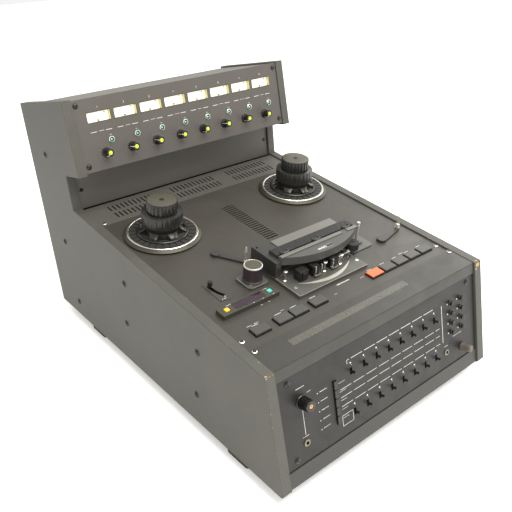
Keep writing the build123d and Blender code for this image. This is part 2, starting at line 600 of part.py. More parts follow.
# ---- Reel tables with their hub collars, and the locking knobs on top ----
TABLE_R = 66.0
SKIRT_R = 72.0
HUB_R = 37.9              # just under the 76.2 mm hole of a large reel
HUB_LOW = 25.5
HUB_TOP = 48.5
LOCK_R = 29.0
LOCK_TOP = 70.5
HUB_BORE_R = 8.0
REEL_SHAFT_LEN = 60.0
MOTOR_TOP = deck_under
FLUTES = 24
for side, x in (("left", -REEL_X), ("right", REEL_X)):
    axle = on(DECK, x, REEL_V)
    with BuildPart() as reel_table:
        turned(axle, [(0, MOTOR_TOP - REEL_SHAFT_LEN), (REEL_SHAFT_R, MOTOR_TOP - REEL_SHAFT_LEN),
                      (REEL_SHAFT_R, -1.6), (SKIRT_R - 4, -1.6), (SKIRT_R, -1.0), (TABLE_R + 1, 3.4),
                      (TABLE_R, 5.8),
                      (TABLE_R - 4, 5.8), (TABLE_R - 4.2, 5.0), (TABLE_R - 17.5, 5.0), (TABLE_R - 18, 2.4),
                      (30, 2.4), (30, 8.0), (HUB_R - 4, 12), (HUB_R - 3, HUB_LOW - 2), (HUB_R, HUB_LOW),
                      (HUB_R, HUB_TOP), (HUB_R - 4.5, HUB_TOP), (HUB_R - 4.5, HUB_TOP - 3),
                      (HUB_BORE_R, HUB_TOP - 3), (HUB_BORE_R, HUB_LOW), (0, HUB_LOW)])
        with BuildSketch(on(DECK, x, REEL_V, HUB_LOW + 2)) as flutes:
            with PolarLocations(HUB_R, FLUTES, start_angle=180 / FLUTES):
                Circle(0.9)
        extrude(flutes.sketch, amount=HUB_TOP - HUB_LOW, mode=Mode.SUBTRACT)
        with BuildSketch(on(DECK, x, REEL_V, 2.4)) as spokes:
            with PolarLocations(39, 6, start_angle=30):
                Rectangle(19, 13)
        extrude(spokes.sketch, amount=4.6)
    finish(reel_table, f"reel_table_{side}")

    with BuildPart() as hub_lock:
        turned(axle, [(0, HUB_LOW + 4), (HUB_BORE_R - SHAFT_FIT, HUB_LOW + 4),
                      (HUB_BORE_R - SHAFT_FIT, HUB_TOP - 2.6),
                      (LOCK_R, HUB_TOP - 2.6), (LOCK_R, LOCK_TOP - 0.8), (LOCK_R - 0.8, LOCK_TOP),
                      (3.2, LOCK_TOP),
                      (3.2, LOCK_TOP - 2), (0, LOCK_TOP - 2)])
        with BuildSketch(on(DECK, x, REEL_V, HUB_TOP - 2.6)) as flutes:
            with PolarLocations(LOCK_R + 0.6, FLUTES):
                Circle(2.0)
        extrude(flutes.sketch, amount=LOCK_TOP, mode=Mode.SUBTRACT)
    finish(hub_lock, f"hub_lock_{side}")

# ---- Head base: thick front plate with a sunken arc, capstan plate and timer roller plate ----
BASE_X = (-92.0, 72.0)
BASE_V = (108.5, 236.0)
BASE_TOP = 3.0
POCKET_X = -8.0
POCKET_R = 135.0
POCKET_FRONT_V = 121.5
POCKET_BACK_V = 168.5
POCKET_SIDE = 4.0
POCKET_FLOOR = -1.0
SIDE_PLATE_X = (64.0, 138.0)
SIDE_PLATE_V = (152.0, 206.0)
SIDE_PLATE_TOP = -1.0
BOSS_R = 12.5
ROLLER_PLATE = 42.0
ROLLER_PLATE_TOP = 1.5
ROLLER_AXLE_R = 3.0
with BuildPart() as head_base:
    base_centre = (sum(BASE_X) / 2, sum(BASE_V) / 2)
    block(on(DECK, *base_centre, -DECK_DROP), BASE_X[1] - BASE_X[0], BASE_V[1] - BASE_V[0],
          DECK_DROP + BASE_TOP)
    chamfer(head_base.faces().sort_by(SortBy.AREA)[-1].edges().sort_by(Axis.Y)[0], 1.2)
    with BuildSketch(on(DECK, 0, 0, POCKET_FLOOR)) as pocket:
        with Locations((POCKET_X, POCKET_FRONT_V + POCKET_R)):
            Circle(POCKET_R)
        with Locations((base_centre[0], (POCKET_FRONT_V + POCKET_BACK_V) / 2)):
            Rectangle(BASE_X[1] - BASE_X[0] - 2 * POCKET_SIDE, POCKET_BACK_V - POCKET_FRONT_V,
                      mode=Mode.INTERSECT)
    extrude(pocket.sketch, amount=BASE_TOP - POCKET_FLOOR, mode=Mode.SUBTRACT)
    block(on(DECK, sum(SIDE_PLATE_X) / 2, sum(SIDE_PLATE_V) / 2, -DECK_DROP),
          SIDE_PLATE_X[1] - SIDE_PLATE_X[0],
          SIDE_PLATE_V[1] - SIDE_PLATE_V[0], SIDE_PLATE_TOP + DECK_DROP, corner=8)
    disc(on(DECK, *CAPSTAN_AT, -DECK_DROP), BOSS_R, DECK_DROP + 2)
    disc(on(DECK, *CAPSTAN_AT, -DECK_DROP), CAPSTAN_R + SHAFT_FIT, DECK_DROP + 2, mode=Mode.SUBTRACT)
    disc(on(DECK, *PINCH_PIVOT_AT, -DECK_DROP), PINCH_SHAFT_R + SHAFT_FIT, 20, mode=Mode.SUBTRACT)
    block(on(DECK, *ROLLER_AT, -DECK_DROP), ROLLER_PLATE, ROLLER_PLATE, DECK_DROP + ROLLER_PLATE_TOP,
          corner=5)
    disc(on(DECK, *ROLLER_AT, ROLLER_PLATE_TOP), ROLLER_AXLE_R, 26)
finish(head_base, "head_base")

# ---- Timer roller, turning on the roller plate's axle ----
ROLLER_R = 16.6
ROLLER_TOP = 32.0
ROLLER_LOW = ROLLER_PLATE_TOP + 0.8
with BuildPart() as timer_roller:
    turned(on(DECK, *ROLLER_AT), [(ROLLER_AXLE_R + SHAFT_FIT, ROLLER_LOW), (ROLLER_R + 1, ROLLER_LOW),
                                  (ROLLER_R + 1, ROLLER_LOW + 1.6), (ROLLER_R, ROLLER_LOW + 2),
                                  (ROLLER_R, ROLLER_TOP - 3),
                                  (ROLLER_R - 0.4, ROLLER_TOP - 0.6), (ROLLER_R - 1, ROLLER_TOP),
                                  (0, ROLLER_TOP),
                                  (0, ROLLER_TOP - 4), (ROLLER_AXLE_R + SHAFT_FIT, ROLLER_TOP - 4)])
finish(timer_roller, "timer_roller")

# ---- Heads, their shields and the guides in the pocket ----
HEAD_TOP = 19.0
HEADS = {-52.0: 21.0, -25.0: 16.0, 17.0: 16.0}
SHIELDED_HEADS = (-25.0, 17.0)
HEAD_FRONT_V = 140.0
HEAD_DEPTH = 18.0
SHIELD_V = 134.0
SHIELD_W = 17.0
GUIDES = [(-79.0, 160.0), (-3.0, 142.0), (36.5, 142.0)]
GUIDE_R = 2.2
GUIDE_FLANGE_R = 4.2
with BuildPart() as head_stack:
    for x, width in HEADS.items():
        block(on(DECK, x, HEAD_FRONT_V + HEAD_DEPTH / 2, POCKET_FLOOR), width, HEAD_DEPTH,
              HEAD_TOP - POCKET_FLOOR, corner=3)
    for x in SHIELDED_HEADS:
        for side in (-1, 1):
            block(on(DECK, x + side * (SHIELD_W / 2 - 1.2), SHIELD_V + 2, POCKET_FLOOR), 2.4, 3.0,
                  HEAD_TOP - POCKET_FLOOR)
        block(on(DECK, x, SHIELD_V + 2, POCKET_FLOOR), SHIELD_W, 3.0, 3.6)
    block(on(DECK, 52, 146, POCKET_FLOOR), 22, 6, HEAD_TOP - POCKET_FLOOR - 3)
    for at in GUIDES:
        turned(on(DECK, *at, POCKET_FLOOR), [(0, 0), (GUIDE_FLANGE_R, 0), (GUIDE_FLANGE_R, 2.2),
                                             (GUIDE_R, 3), (GUIDE_R, 17),
                                             (GUIDE_FLANGE_R, 17.8), (GUIDE_FLANGE_R, 20), (0, 20)])
finish(head_stack, "head_stack")

# ---- Head housing with the ribbed editing bar, and the hinged head cover ----
BAR_X = (-80.0, 106.0)
BAR_V = (183.2, 203.5)
BAR_TOP = 38.0
BAR_THICK = 8.0
BAR_RIBS = 5
REAR_STRIP_X = (-55.0, 93.0)
REAR_STRIP_BACK_V = 230.0
REAR_STRIP_TOP = 33.0
END_BLOCK_TOP = 32.0
END_BLOCK_FRONT_V = 170.0
HOUSING_RIGHT_X = 64.0
HOUSING_WALL = 3.0
COVER_BACK_V = 179.8
COVER_FRONT_V = 145.5
COVER_LOW = 23.0
COVER_T = 2.0
HINGE_V = 181.0
HINGE_W = 39.0
HINGE_BARREL_R = 1.7
HINGE_PIN_R = 0.8
HINGE_X = (-62.0, 13.0, 88.0)
HINGE_LEN = 12.0
EAR_T = 2.5


def box_between(plane, x_span, y_span, z_span, mode=Mode.ADD):
    block(on(plane, sum(x_span) / 2, sum(y_span) / 2, z_span[0]), x_span[1] - x_span[0],
          y_span[1] - y_span[0],
          z_span[1] - z_span[0], mode=mode)


def across(x, v, w):
    """Plane facing +X at a deck point, for pins that lie across the deck."""
    return Plane(DECK.from_local_coords((x, v, w)), x_dir=DECK.y_dir, z_dir=DECK.x_dir)


with BuildPart() as head_housing:
    box_between(DECK, (BASE_X[0], HOUSING_RIGHT_X), (BAR_V[0], REAR_STRIP_BACK_V), (BASE_TOP, END_BLOCK_TOP))
    box_between(DECK, (BASE_X[0], BASE_X[0] + 12), (END_BLOCK_FRONT_V, BASE_V[1]), (BASE_TOP, END_BLOCK_TOP))
    box_between(DECK, (BASE_X[0] + HOUSING_WALL + 12, HOUSING_RIGHT_X - HOUSING_WALL),
                (BAR_V[0] + HOUSING_WALL, REAR_STRIP_BACK_V - HOUSING_WALL),
                (BASE_TOP, END_BLOCK_TOP - HOUSING_WALL),
                mode=Mode.SUBTRACT)
    box_between(DECK, REAR_STRIP_X, (BAR_V[1], REAR_STRIP_BACK_V), (END_BLOCK_TOP - 4, REAR_STRIP_TOP))
    box_between(DECK, BAR_X, BAR_V, (BAR_TOP - BAR_THICK, BAR_TOP))
    for n in range(BAR_RIBS):
        groove_v = BAR_V[0] + 5 + n * 3.2
        box_between(DECK, BAR_X, (groove_v, groove_v + 1.2), (BAR_TOP - 0.8, BAR_TOP), mode=Mode.SUBTRACT)
    for x in HINGE_X:
        for ear_x in (x - HINGE_LEN / 2 - EAR_T - 0.4, x + HINGE_LEN / 2 + 0.4):
            box_between(DECK, (ear_x, ear_x + EAR_T), (HINGE_V - 0.6, BAR_V[0] + 4),
                        (BAR_TOP - 0.2, HINGE_W + 1.2))
        disc(across(x - HINGE_LEN / 2 - EAR_T, HINGE_V, HINGE_W), HINGE_PIN_R, HINGE_LEN + 2 * EAR_T)
    disc(on(DECK, -86, 228, END_BLOCK_TOP - 8), SCREW_HOLE_R, 8, mode=Mode.SUBTRACT)
finish(head_housing, "head_housing")

COVER_STRIPS_X = [(-80.0, 66.0), (80.0, 106.0)]
COVER_STRIP_V = (170.0, 177.6)
with BuildPart() as head_cover:
    with BuildSketch(on(DECK, 0, 0, COVER_LOW)) as cover_outline:
        with BuildLine():
            Line((BAR_X[0], 174), (BAR_X[0], COVER_BACK_V))
            Line((BAR_X[0], COVER_BACK_V), (BAR_X[1], COVER_BACK_V))
            Line((BAR_X[1], COVER_BACK_V), (BAR_X[1], 174))
            ThreePointArc((BAR_X[1], 174), (sum(BAR_X) / 2, COVER_FRONT_V), (BAR_X[0], 174))
        make_face()
    extrude(cover_outline.sketch, amount=BAR_TOP - COVER_LOW)
    with BuildSketch(on(DECK, 0, 0, COVER_LOW)) as cover_inside:
        add(DECK.to_local_coords(cover_outline.sketch).moved(Location((0, 0, -COVER_LOW))))
        offset(amount=-COVER_T)
    extrude(cover_inside.sketch, amount=BAR_TOP - COVER_LOW - COVER_T, mode=Mode.SUBTRACT)
    for x_span in COVER_STRIPS_X:
        box_between(DECK, x_span, COVER_STRIP_V, (BAR_TOP, BAR_TOP + 1.2))
    for x in HINGE_X:
        disc(across(x - HINGE_LEN / 2, HINGE_V, HINGE_W), HINGE_BARREL_R, HINGE_LEN)
        box_between(DECK, (x - HINGE_LEN / 2, x + HINGE_LEN / 2), (COVER_BACK_V - 2, HINGE_V),
                    (BAR_TOP - 0.6, BAR_TOP + 0.8))
        disc(across(x - HINGE_LEN / 2, HINGE_V, HINGE_W), HINGE_PIN_R + SHAFT_FIT, HINGE_LEN,
             mode=Mode.SUBTRACT)
finish(head_cover, "head_cover")

# ---- Capstan with its flywheel, and the pinch roller on its arm ----
CAPSTAN_TOP = 40.0
FLYWHEEL_R = 42.0
FLYWHEEL_W = (-60.0, -46.0)
with BuildPart() as capstan:
    turned(on(DECK, *CAPSTAN_AT), [(0, FLYWHEEL_W[0] - 14), (CAPSTAN_R, FLYWHEEL_W[0] - 14),
                                   (CAPSTAN_R, FLYWHEEL_W[0]),
                                   (FLYWHEEL_R, FLYWHEEL_W[0]), (FLYWHEEL_R, FLYWHEEL_W[1]),
                                   (CAPSTAN_R, FLYWHEEL_W[1]),
                                   (CAPSTAN_R, CAPSTAN_TOP - 6), (CAPSTAN_R - 0.8, CAPSTAN_TOP - 5.4),
                                   (CAPSTAN_R - 0.8, CAPSTAN_TOP - 4), (CAPSTAN_R + 0.5, CAPSTAN_TOP - 3.4),
                                   (CAPSTAN_R + 0.5, CAPSTAN_TOP - 0.6), (CAPSTAN_R, CAPSTAN_TOP),
                                   (0, CAPSTAN_TOP)])
finish(capstan, "capstan")

PINCH_REACH = 38.0
PINCH_REST = -94.0        # direction from the arm's pivot to the roller when released
PINCH_ARM_W = (2.8, 5.2)
PINCH_ROLLER_W = (6.0, 20.0)
PINCH_ROLLER_R = 12.0
PINCH_PIN_R = 2.5
pinch_turn = math.radians(PINCH_REST)
PINCH_ROLLER_AT = (PINCH_PIVOT_AT[0] + PINCH_REACH * math.cos(pinch_turn),
                   PINCH_PIVOT_AT[1] + PINCH_REACH * math.sin(pinch_turn))


def arm_plate(pivot, angle, reach, pivot_r, end_r, low, thick):
    """Flat arm: two rounds joined by their tangents."""
    with BuildSketch(spun(on(DECK, *pivot, low), angle)) as outline:
        Circle(pivot_r)
        with Locations((reach, 0)):
            Circle(end_r)
        make_hull()
    extrude(outline.sketch, amount=thick)


with BuildPart() as pinch_arm:
    arm_plate(PINCH_PIVOT_AT, PINCH_REST, PINCH_REACH, 7, 5, PINCH_ARM_W[0], PINCH_ARM_W[1] - PINCH_ARM_W[0])
    disc(on(DECK, *PINCH_PIVOT_AT, -26), PINCH_SHAFT_R, 26 + PINCH_ARM_W[0])
    disc(on(DECK, *PINCH_ROLLER_AT, PINCH_ARM_W[0]), PINCH_PIN_R, PINCH_ROLLER_W[1] - PINCH_ARM_W[0] - 1)
finish(pinch_arm, "pinch_arm")

with BuildPart() as pinch_roller:
    disc(on(DECK, *PINCH_ROLLER_AT, PINCH_ROLLER_W[0]), PINCH_ROLLER_R, PINCH_ROLLER_W[1] - PINCH_ROLLER_W[0],
         hole=PINCH_PIN_R + SHAFT_FIT)
    chamfer(pinch_roller.edges().filter_by(GeomType.CIRCLE).filter_by(lambda edge: edge.radius > PINCH_PIN_R
                                                                      + 1), 0.6)
finish(pinch_roller, "pinch_roller")

# ---- Tape tension arms ----
ARM_LOW = -2.4
ARM_T = 3.0
ARM_BOSS_R = 9.5
ARM_BOSS_TOP = 2.4
LEFT_ARM = (57.5, -61.3)  # reach, direction
RIGHT_ARM = (61.0, 11.3)
for label, at, (reach, angle), pivot_r, end_r in (("tension_arm_left", LEFT_ARM_AT, LEFT_ARM, 7.0, 4.5),
                                                  ("tension_arm_right", RIGHT_ARM_AT, RIGHT_ARM, 8.5, 5.5)):
    with BuildPart() as tension_arm:
        arm_plate(at, angle, reach, pivot_r, end_r, ARM_LOW, ARM_T)
        disc(on(DECK, *at, ARM_LOW), ARM_BOSS_R, ARM_BOSS_TOP - ARM_LOW)
        disc(on(DECK, *at, -20), ARM_SHAFT_R, 20 + ARM_LOW)
        end = on(spun(on(DECK, *at, ARM_LOW + ARM_T), angle), reach, 0)
        if label.endswith("left"):
            turned(end, [(0, 0), (3.6, 0), (3.6, 1), (1.4, 1.8), (1.4, 20), (3.2, 21), (3.0, 23),
                         (1.0, 29.4), (0, 29.4)])
        else:
            turned(end, [(0, 0), (4.6, 0), (4.6, 1.2), (3.0, 1.8), (3.0, 5.4), (4.2, 6), (4.2, 7.4),
                         (0, 7.4)])
            for x in (-3, 3):
                disc(on(end, x, 0, 7.4), 0.8, 27)
            bend = on(end, 0, 0, 34.4)
            with BuildSketch(on(bend, 3, 0)) as wire:
                Circle(0.8)
            revolve(wire.sketch, axis=Axis(bend.origin, bend.y_dir), revolution_arc=-180)
    finish(tension_arm, label)

# ---- Edit lever: hub under the deck, knob through the curved slot ----
with BuildPart() as edit_lever:
    arm_plate(EDIT_PIVOT_AT, EDIT_REST, EDIT_R, 7, 5, deck_under - 4.6, 2.5)
    disc(on(DECK, *EDIT_PIVOT_AT, deck_under - 4.6), EDIT_PIN_R, 4.6 + EDIT_PIN_LEN)
    knob_axis = on(spun(on(DECK, *EDIT_PIVOT_AT), EDIT_REST), EDIT_R, 0)
    turned(knob_axis, [(0, deck_under - 3), (EDIT_STEM_R, deck_under - 3), (EDIT_STEM_R, 1.0), (4.2, 2.4),
                       (4.2, 8.6),
                       (3.2, 10), (0, 10)])
finish(edit_lever, "edit_lever")

# ---- Motors: two under the reels and one under the capstan ----
REEL_MOTOR_R = 46.0
REEL_MOTOR_H = 66.0
CAPSTAN_MOTOR_R = 38.0
with BuildPart() as motors:
    for x in (-REEL_X, REEL_X):
        disc(on(DECK, x, REEL_V, MOTOR_TOP - REEL_MOTOR_H), REEL_MOTOR_R, REEL_MOTOR_H)
        disc(on(DECK, x, REEL_V, MOTOR_TOP - REEL_SHAFT_LEN - 1), REEL_SHAFT_R + SHAFT_FIT,
             REEL_SHAFT_LEN + 1,
             mode=Mode.SUBTRACT)
    disc(on(DECK, *CAPSTAN_AT, FLYWHEEL_W[1] + 1), 9, deck_under - FLYWHEEL_W[1] - 1,
         hole=CAPSTAN_R + SHAFT_FIT)
    disc(on(DECK, *CAPSTAN_AT, FLYWHEEL_W[0] - 28), CAPSTAN_MOTOR_R, 27)
    disc(on(DECK, *CAPSTAN_AT, FLYWHEEL_W[0] - 15), CAPSTAN_R + SHAFT_FIT, 14, mode=Mode.SUBTRACT)
    box_between(DECK, (CAPSTAN_AT[0] + FLYWHEEL_R + 2, CAPSTAN_AT[0] + FLYWHEEL_R + 5),
                (CAPSTAN_AT[1] - 12, CAPSTAN_AT[1] + 12), (FLYWHEEL_W[0] - 28, deck_under))
    box_between(DECK, (CAPSTAN_AT[0] + CAPSTAN_MOTOR_R - 4, CAPSTAN_AT[0] + FLYWHEEL_R + 5),
                (CAPSTAN_AT[1] - 12, CAPSTAN_AT[1] + 12), (FLYWHEEL_W[0] - 28, FLYWHEEL_W[0] - 24))
finish(motors, "motors")

# ---- Power supply on the chassis floor, and the amplifier cards standing in front of it ----
TRANSFORMER_Y = 250.0
with BuildPart() as power_supply:
    floor_top = FLOOR_Z + SHEET
    with BuildSketch(Plane((120, TRANSFORMER_Y, floor_top))):
        Rectangle(96, 76)
    extrude(amount=72)
    with BuildSketch(Plane((120, TRANSFORMER_Y, floor_top + 20))):
        Rectangle(70, 100)
    extrude(amount=40)
    with BuildSketch(Plane((-20, TRANSFORMER_Y, floor_top))):
        with GridLocations(36, 44, 3, 2):
            Circle(14)
    extrude(amount=60)
finish(power_supply, "power_supply")

CARD_PITCH = 40.0
with BuildPart() as amplifier_cards:
    for n in range(CHANNELS):
        card_x = CARD_PITCH * (n - (CHANNELS - 1) / 2)
        with BuildSketch(Plane((card_x, 40, floor_top + 0.2))):
            Rectangle(1.6, 190)
        extrude(amount=82)
        with BuildSketch(Plane((card_x + 4, 40, floor_top + 14))):
            with GridLocations(1, 34, 1, 5):
                Rectangle(7, 16)
        extrude(amount=44)
finish(amplifier_cards, "amplifier_cards")

# ---- Screws: fourteen with cup washers in the sides, and the machine screws of every plate ----
CUP_R = 6.5
with BuildPart() as screws:
    for y, z in SIDE_SCREWS:
        for side in (-1, 1):
            face = Plane((side * OUTER_W / 2, y, z), x_dir=(0, side, 0), z_dir=(side, 0, 0))
            turned(face, [(0, 3.4), (2.6, 3.2), (4.4, 2.2), (CUP_R, 0.6), (CUP_R, 0), (SCREW_R, 0),
                          (SCREW_R, -PANEL_T - 6), (0, -PANEL_T - 6)])
    PLATE_SCREWS = [(DECK, -DECK_DROP, CONTROL_SCREWS), (DECK, -LIP_DROP, LIP_SCREWS),
                    (DECK, -DECK_DROP, VENT_SCREWS),
                    (RISER, -RISER_DROP, RISER_SCREWS), (FRONT, -FRONT_DROP, FRONT_SCREWS),
                    (BRIDGE, -BRIDGE_DROP, BRIDGE_SCREWS)]
    for plane, drop, places in PLATE_SCREWS:
        for x, y in places:
            screw(on(plane, x, y, drop), 7)
finish(screws, "screws")
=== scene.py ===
import json
import math
import random

import bmesh
import bpy
from mathutils import Euler, Matrix, Vector


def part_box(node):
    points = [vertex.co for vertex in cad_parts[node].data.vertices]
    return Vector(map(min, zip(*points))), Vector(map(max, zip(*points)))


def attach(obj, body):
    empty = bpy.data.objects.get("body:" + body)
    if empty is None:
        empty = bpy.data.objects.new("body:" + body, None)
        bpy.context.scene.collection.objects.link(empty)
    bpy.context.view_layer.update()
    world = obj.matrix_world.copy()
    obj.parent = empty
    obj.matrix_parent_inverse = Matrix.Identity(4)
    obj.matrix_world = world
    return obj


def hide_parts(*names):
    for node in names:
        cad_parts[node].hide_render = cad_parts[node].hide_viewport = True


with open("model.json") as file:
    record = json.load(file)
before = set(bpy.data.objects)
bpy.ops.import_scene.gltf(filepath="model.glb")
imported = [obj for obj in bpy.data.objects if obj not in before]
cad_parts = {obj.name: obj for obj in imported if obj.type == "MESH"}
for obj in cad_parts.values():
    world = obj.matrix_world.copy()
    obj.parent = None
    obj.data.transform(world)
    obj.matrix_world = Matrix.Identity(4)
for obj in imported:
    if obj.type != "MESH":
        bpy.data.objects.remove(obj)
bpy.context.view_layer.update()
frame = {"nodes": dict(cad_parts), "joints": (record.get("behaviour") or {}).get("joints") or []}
scene = bpy.context.scene


# ---- Studio ----
# A plain white floor that runs out of sight, a white room around it and two large soft boxes: one overhead
# and a little in front, which glazes the flat tops, and one to the right. Nothing of it belongs to the deck.
def linear(hex_colour):
    """The linear colour of an sRGB hex value."""
    channels = [int(hex_colour[i:i + 2], 16) / 255 for i in (1, 3, 5)]
    return tuple(c / 12.92 if c <= 0.04045 else ((c + 0.055) / 1.055) ** 2.4 for c in channels) + (1.0,)


def add(tree, kind, settings, links=None):
    """One node, with its settings (attributes or sockets by name) and what is linked into it."""
    new = tree.nodes.new(kind)
    for key, value in settings.items():
        if isinstance(key, str) and hasattr(new, key):
            setattr(new, key, value)
        else:
            new.inputs[key].default_value = value
    for key, source in (links or {}).items():
        tree.links.new(source, new.inputs[key])
    return new


def surface(name):
    """A new material: its node tree, its shader, and the row's coordinates in metres."""
    material = bpy.data.materials.new(name)
    material.use_nodes = True
    tree = material.node_tree
    shader = tree.nodes["Principled BSDF"]
    metres = add(tree, "ShaderNodeTexCoord", {}).outputs["Object"]
    return material, tree, shader, metres


def mottled(name, dark, light, scale, detail, roughness, glow=0.0, metallic=0.0, ior=1.5):
    """A surface whose tone drifts between two colours, and whose glow, if it has one, takes that colour."""
    material, tree, shader, metres = surface(name)
    drift = add(tree, "ShaderNodeTexNoise", {"Scale": scale, "Detail": detail}, {"Vector": metres})
    tone = add(tree, "ShaderNodeMix", {"data_type": "RGBA", 6: linear(dark), 7: linear(light)},
               {0: drift.outputs["Fac"]})
    tree.links.new(tone.outputs[2], shader.inputs["Base Color"])
    if glow:
        tree.links.new(tone.outputs[2], shader.inputs["Emission Color"])
        shader.inputs["Emission Strength"].default_value = glow
    shader.inputs["Roughness"].default_value = roughness
    shader.inputs["Metallic"].default_value = metallic
    shader.inputs["IOR"].default_value = ior
    return material, tree, shader, drift


world = bpy.data.worlds.new("white_room")
world.use_nodes = True
world.node_tree.nodes["Background"].inputs["Color"].default_value = linear("#fbfaf8")
world.node_tree.nodes["Background"].inputs["Strength"].default_value = 0.95
scene.world = world

floor_paper, *_ = mottled("matt_white_paper_sweep", "#fdfcfa", "#f6f5f2", 60.0, 4.0, 0.95, glow=0.35)
floor_mesh = bpy.data.meshes.new("floor")
sweep = bmesh.new()
bmesh.ops.create_grid(sweep, x_segments=8, y_segments=8, size=6.0)
sweep.to_mesh(floor_mesh)
sweep.free()
floor = bpy.data.objects.new("floor", floor_mesh)
floor_mesh.materials.append(floor_paper)
scene.collection.objects.link(floor)

for name, at, aim, width, height, watts in (
        ("overhead_soft_box", (0.2, -1.1, 2.6), (0.0, 0.1, 0.3), 2.4, 1.6, 85),
        ("side_soft_box", (2.6, 0.2, 1.6), (0.0, 0.0, 0.3), 2.4, 1.8, 34)):
    lamp = bpy.data.lights.new(name, "AREA")
    lamp.shape = "RECTANGLE"
    lamp.size = width
    lamp.size_y = height
    lamp.energy = watts
    lamp.color = (1.0, 0.985, 0.96)
    box = bpy.data.objects.new(name, lamp)
    box.location = at
    box.rotation_euler = (Vector(aim) - Vector(at)).to_track_quat("-Z", "Y").to_euler()
    scene.collection.objects.link(box)

camera = bpy.data.objects.new("camera", bpy.data.cameras.new("camera"))
camera.location = (-0.7084, -0.8823, 0.7938)
camera.rotation_euler = Euler([math.radians(angle) for angle in (61.69, 0.72, -39.83)])
camera.data.sensor_width = 36.0
camera.data.lens = 44.97
camera.data.clip_start = 0.01
scene.collection.objects.link(camera)
scene.camera = camera
scene.view_settings.view_transform = "Standard"

# ---- Cabinet sides ----
# Two 18 mm boards of medium-density fibreboard, cut to the stepped outline and sprayed with a dark textured
# lacquer that has chipped back to the tan board along the corners. Screwed to the steel chassis from outside.
def face(joint_name, across, up):
    """From a sloping face's own millimetres (x across, y up the slope, z out of it) to the row's metres.
    A joint that stands at a known place of the face gives it."""
    joint = next(j for j in frame["joints"] if j["name"] == joint_name)
    out = Vector(joint["axis"])
    side = Vector((1, 0, 0))
    slope = out.cross(side)
    place = Matrix((side, slope, out)).transposed().to_4x4()
    place.translation = Vector(joint["pos_m"]) - (side * across + slope * up) / 1000
    return place @ Matrix.Scale(0.001, 4)


MM = Matrix.Scale(0.001, 4)
CAPSTAN = (118.0, 179.0)
MONITOR = (-197.0, 137.0)
DECK = face("capstan_spin", *CAPSTAN)
FRONT = face("monitor_knob_turn", *MONITOR)


def piece(name, mesh_code, place, material, body, given=(), soften=0.0, angle=35.0):
    """A piece from its mesh code and what that code is given, in the millimetres of a place, on a body."""
    built = bmesh.new()
    mesh_code(built, *given)
    built.transform(place)
    bmesh.ops.recalc_face_normals(built, faces=built.faces)
    mesh = bpy.data.meshes.new(name)
    built.to_mesh(mesh)
    built.free()
    mesh.shade_smooth()
    mesh.set_sharp_from_angle(angle=math.radians(angle))
    for finish in (material if isinstance(material, list) else [material]):
        mesh.materials.append(finish)
    made = bpy.data.objects.new(name, mesh)
    scene.collection.objects.link(made)
    if soften:
        edge = made.modifiers.new("rounded_edges", "BEVEL")
        edge.width = soften / 1000
        edge.segments = 2
        edge.limit_method = "ANGLE"
        edge.angle_limit = math.radians(40)
        edge.harden_normals = True
        edge.material = 1 if isinstance(material, list) and len(material) > 1 else -1
    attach(made, body)
    return made


def dress(node, material):
    """The finish of a piece that keeps its own shape."""
    frame["nodes"][node].data.materials.clear()
    frame["nodes"][node].data.materials.append(material)


def prism(built, outline, low, high):
    """A closed outline of (x, y) points, drawn up from one height to another."""
    bottom = [built.verts.new((x, y, low)) for x, y in outline]
    top = [built.verts.new((x, y, high)) for x, y in outline]
    built.faces.new(bottom[::-1])
    built.faces.new(top)
    for n in range(len(outline)):
        m = (n + 1) % len(outline)
        built.faces.new((bottom[n], bottom[m], top[m], top[n]))


def grained(material_name, dark, light, roughness, grain_mm, relief, metallic=0.0, ior=1.5):
    """A sprayed, moulded, ground or anodised finish: mottled in tone, with a fine relief."""
    material, tree, shader, metres = surface(material_name)
    patches = add(tree, "ShaderNodeTexNoise", {"Scale": 9.0, "Detail": 6.0, "Roughness": 0.6},
                  {"Vector": metres})
    grain = add(tree, "ShaderNodeTexNoise", {"Scale": 1000 / grain_mm, "Detail": 3.0}, {"Vector": metres})
    blend = add(tree, "ShaderNodeMath", {"operation": "MULTIPLY_ADD", 1: 0.55},
                {0: grain.outputs["Fac"], 2: add(tree, "ShaderNodeMath", {"operation": "MULTIPLY", 1: 0.45},
                                                 {0: patches.outputs["Fac"]}).outputs[0]})
    reach = add(tree, "ShaderNodeMapRange", {"From Min": 0.32, "From Max": 0.68}, {"Value": blend.outputs[0]})
    tone = add(tree, "ShaderNodeMix", {"data_type": "RGBA", 6: linear(dark), 7: linear(light)},
               {0: reach.outputs["Result"]})
    tree.links.new(tone.outputs[2], shader.inputs["Base Color"])
    sheen = add(tree, "ShaderNodeMapRange", {"To Min": roughness - 0.06, "To Max": roughness + 0.08},
                {"Value": patches.outputs["Fac"]})
    tree.links.new(sheen.outputs["Result"], shader.inputs["Roughness"])
    relief_node = add(tree, "ShaderNodeBump", {"Strength": relief, "Distance": 0.0003},
                      {"Height": grain.outputs["Fac"]})
    tree.links.new(relief_node.outputs["Normal"], shader.inputs["Normal"])
    shader.inputs["Metallic"].default_value = metallic
    shader.inputs["IOR"].default_value = ior
    return material, tree, shader, metres, tone


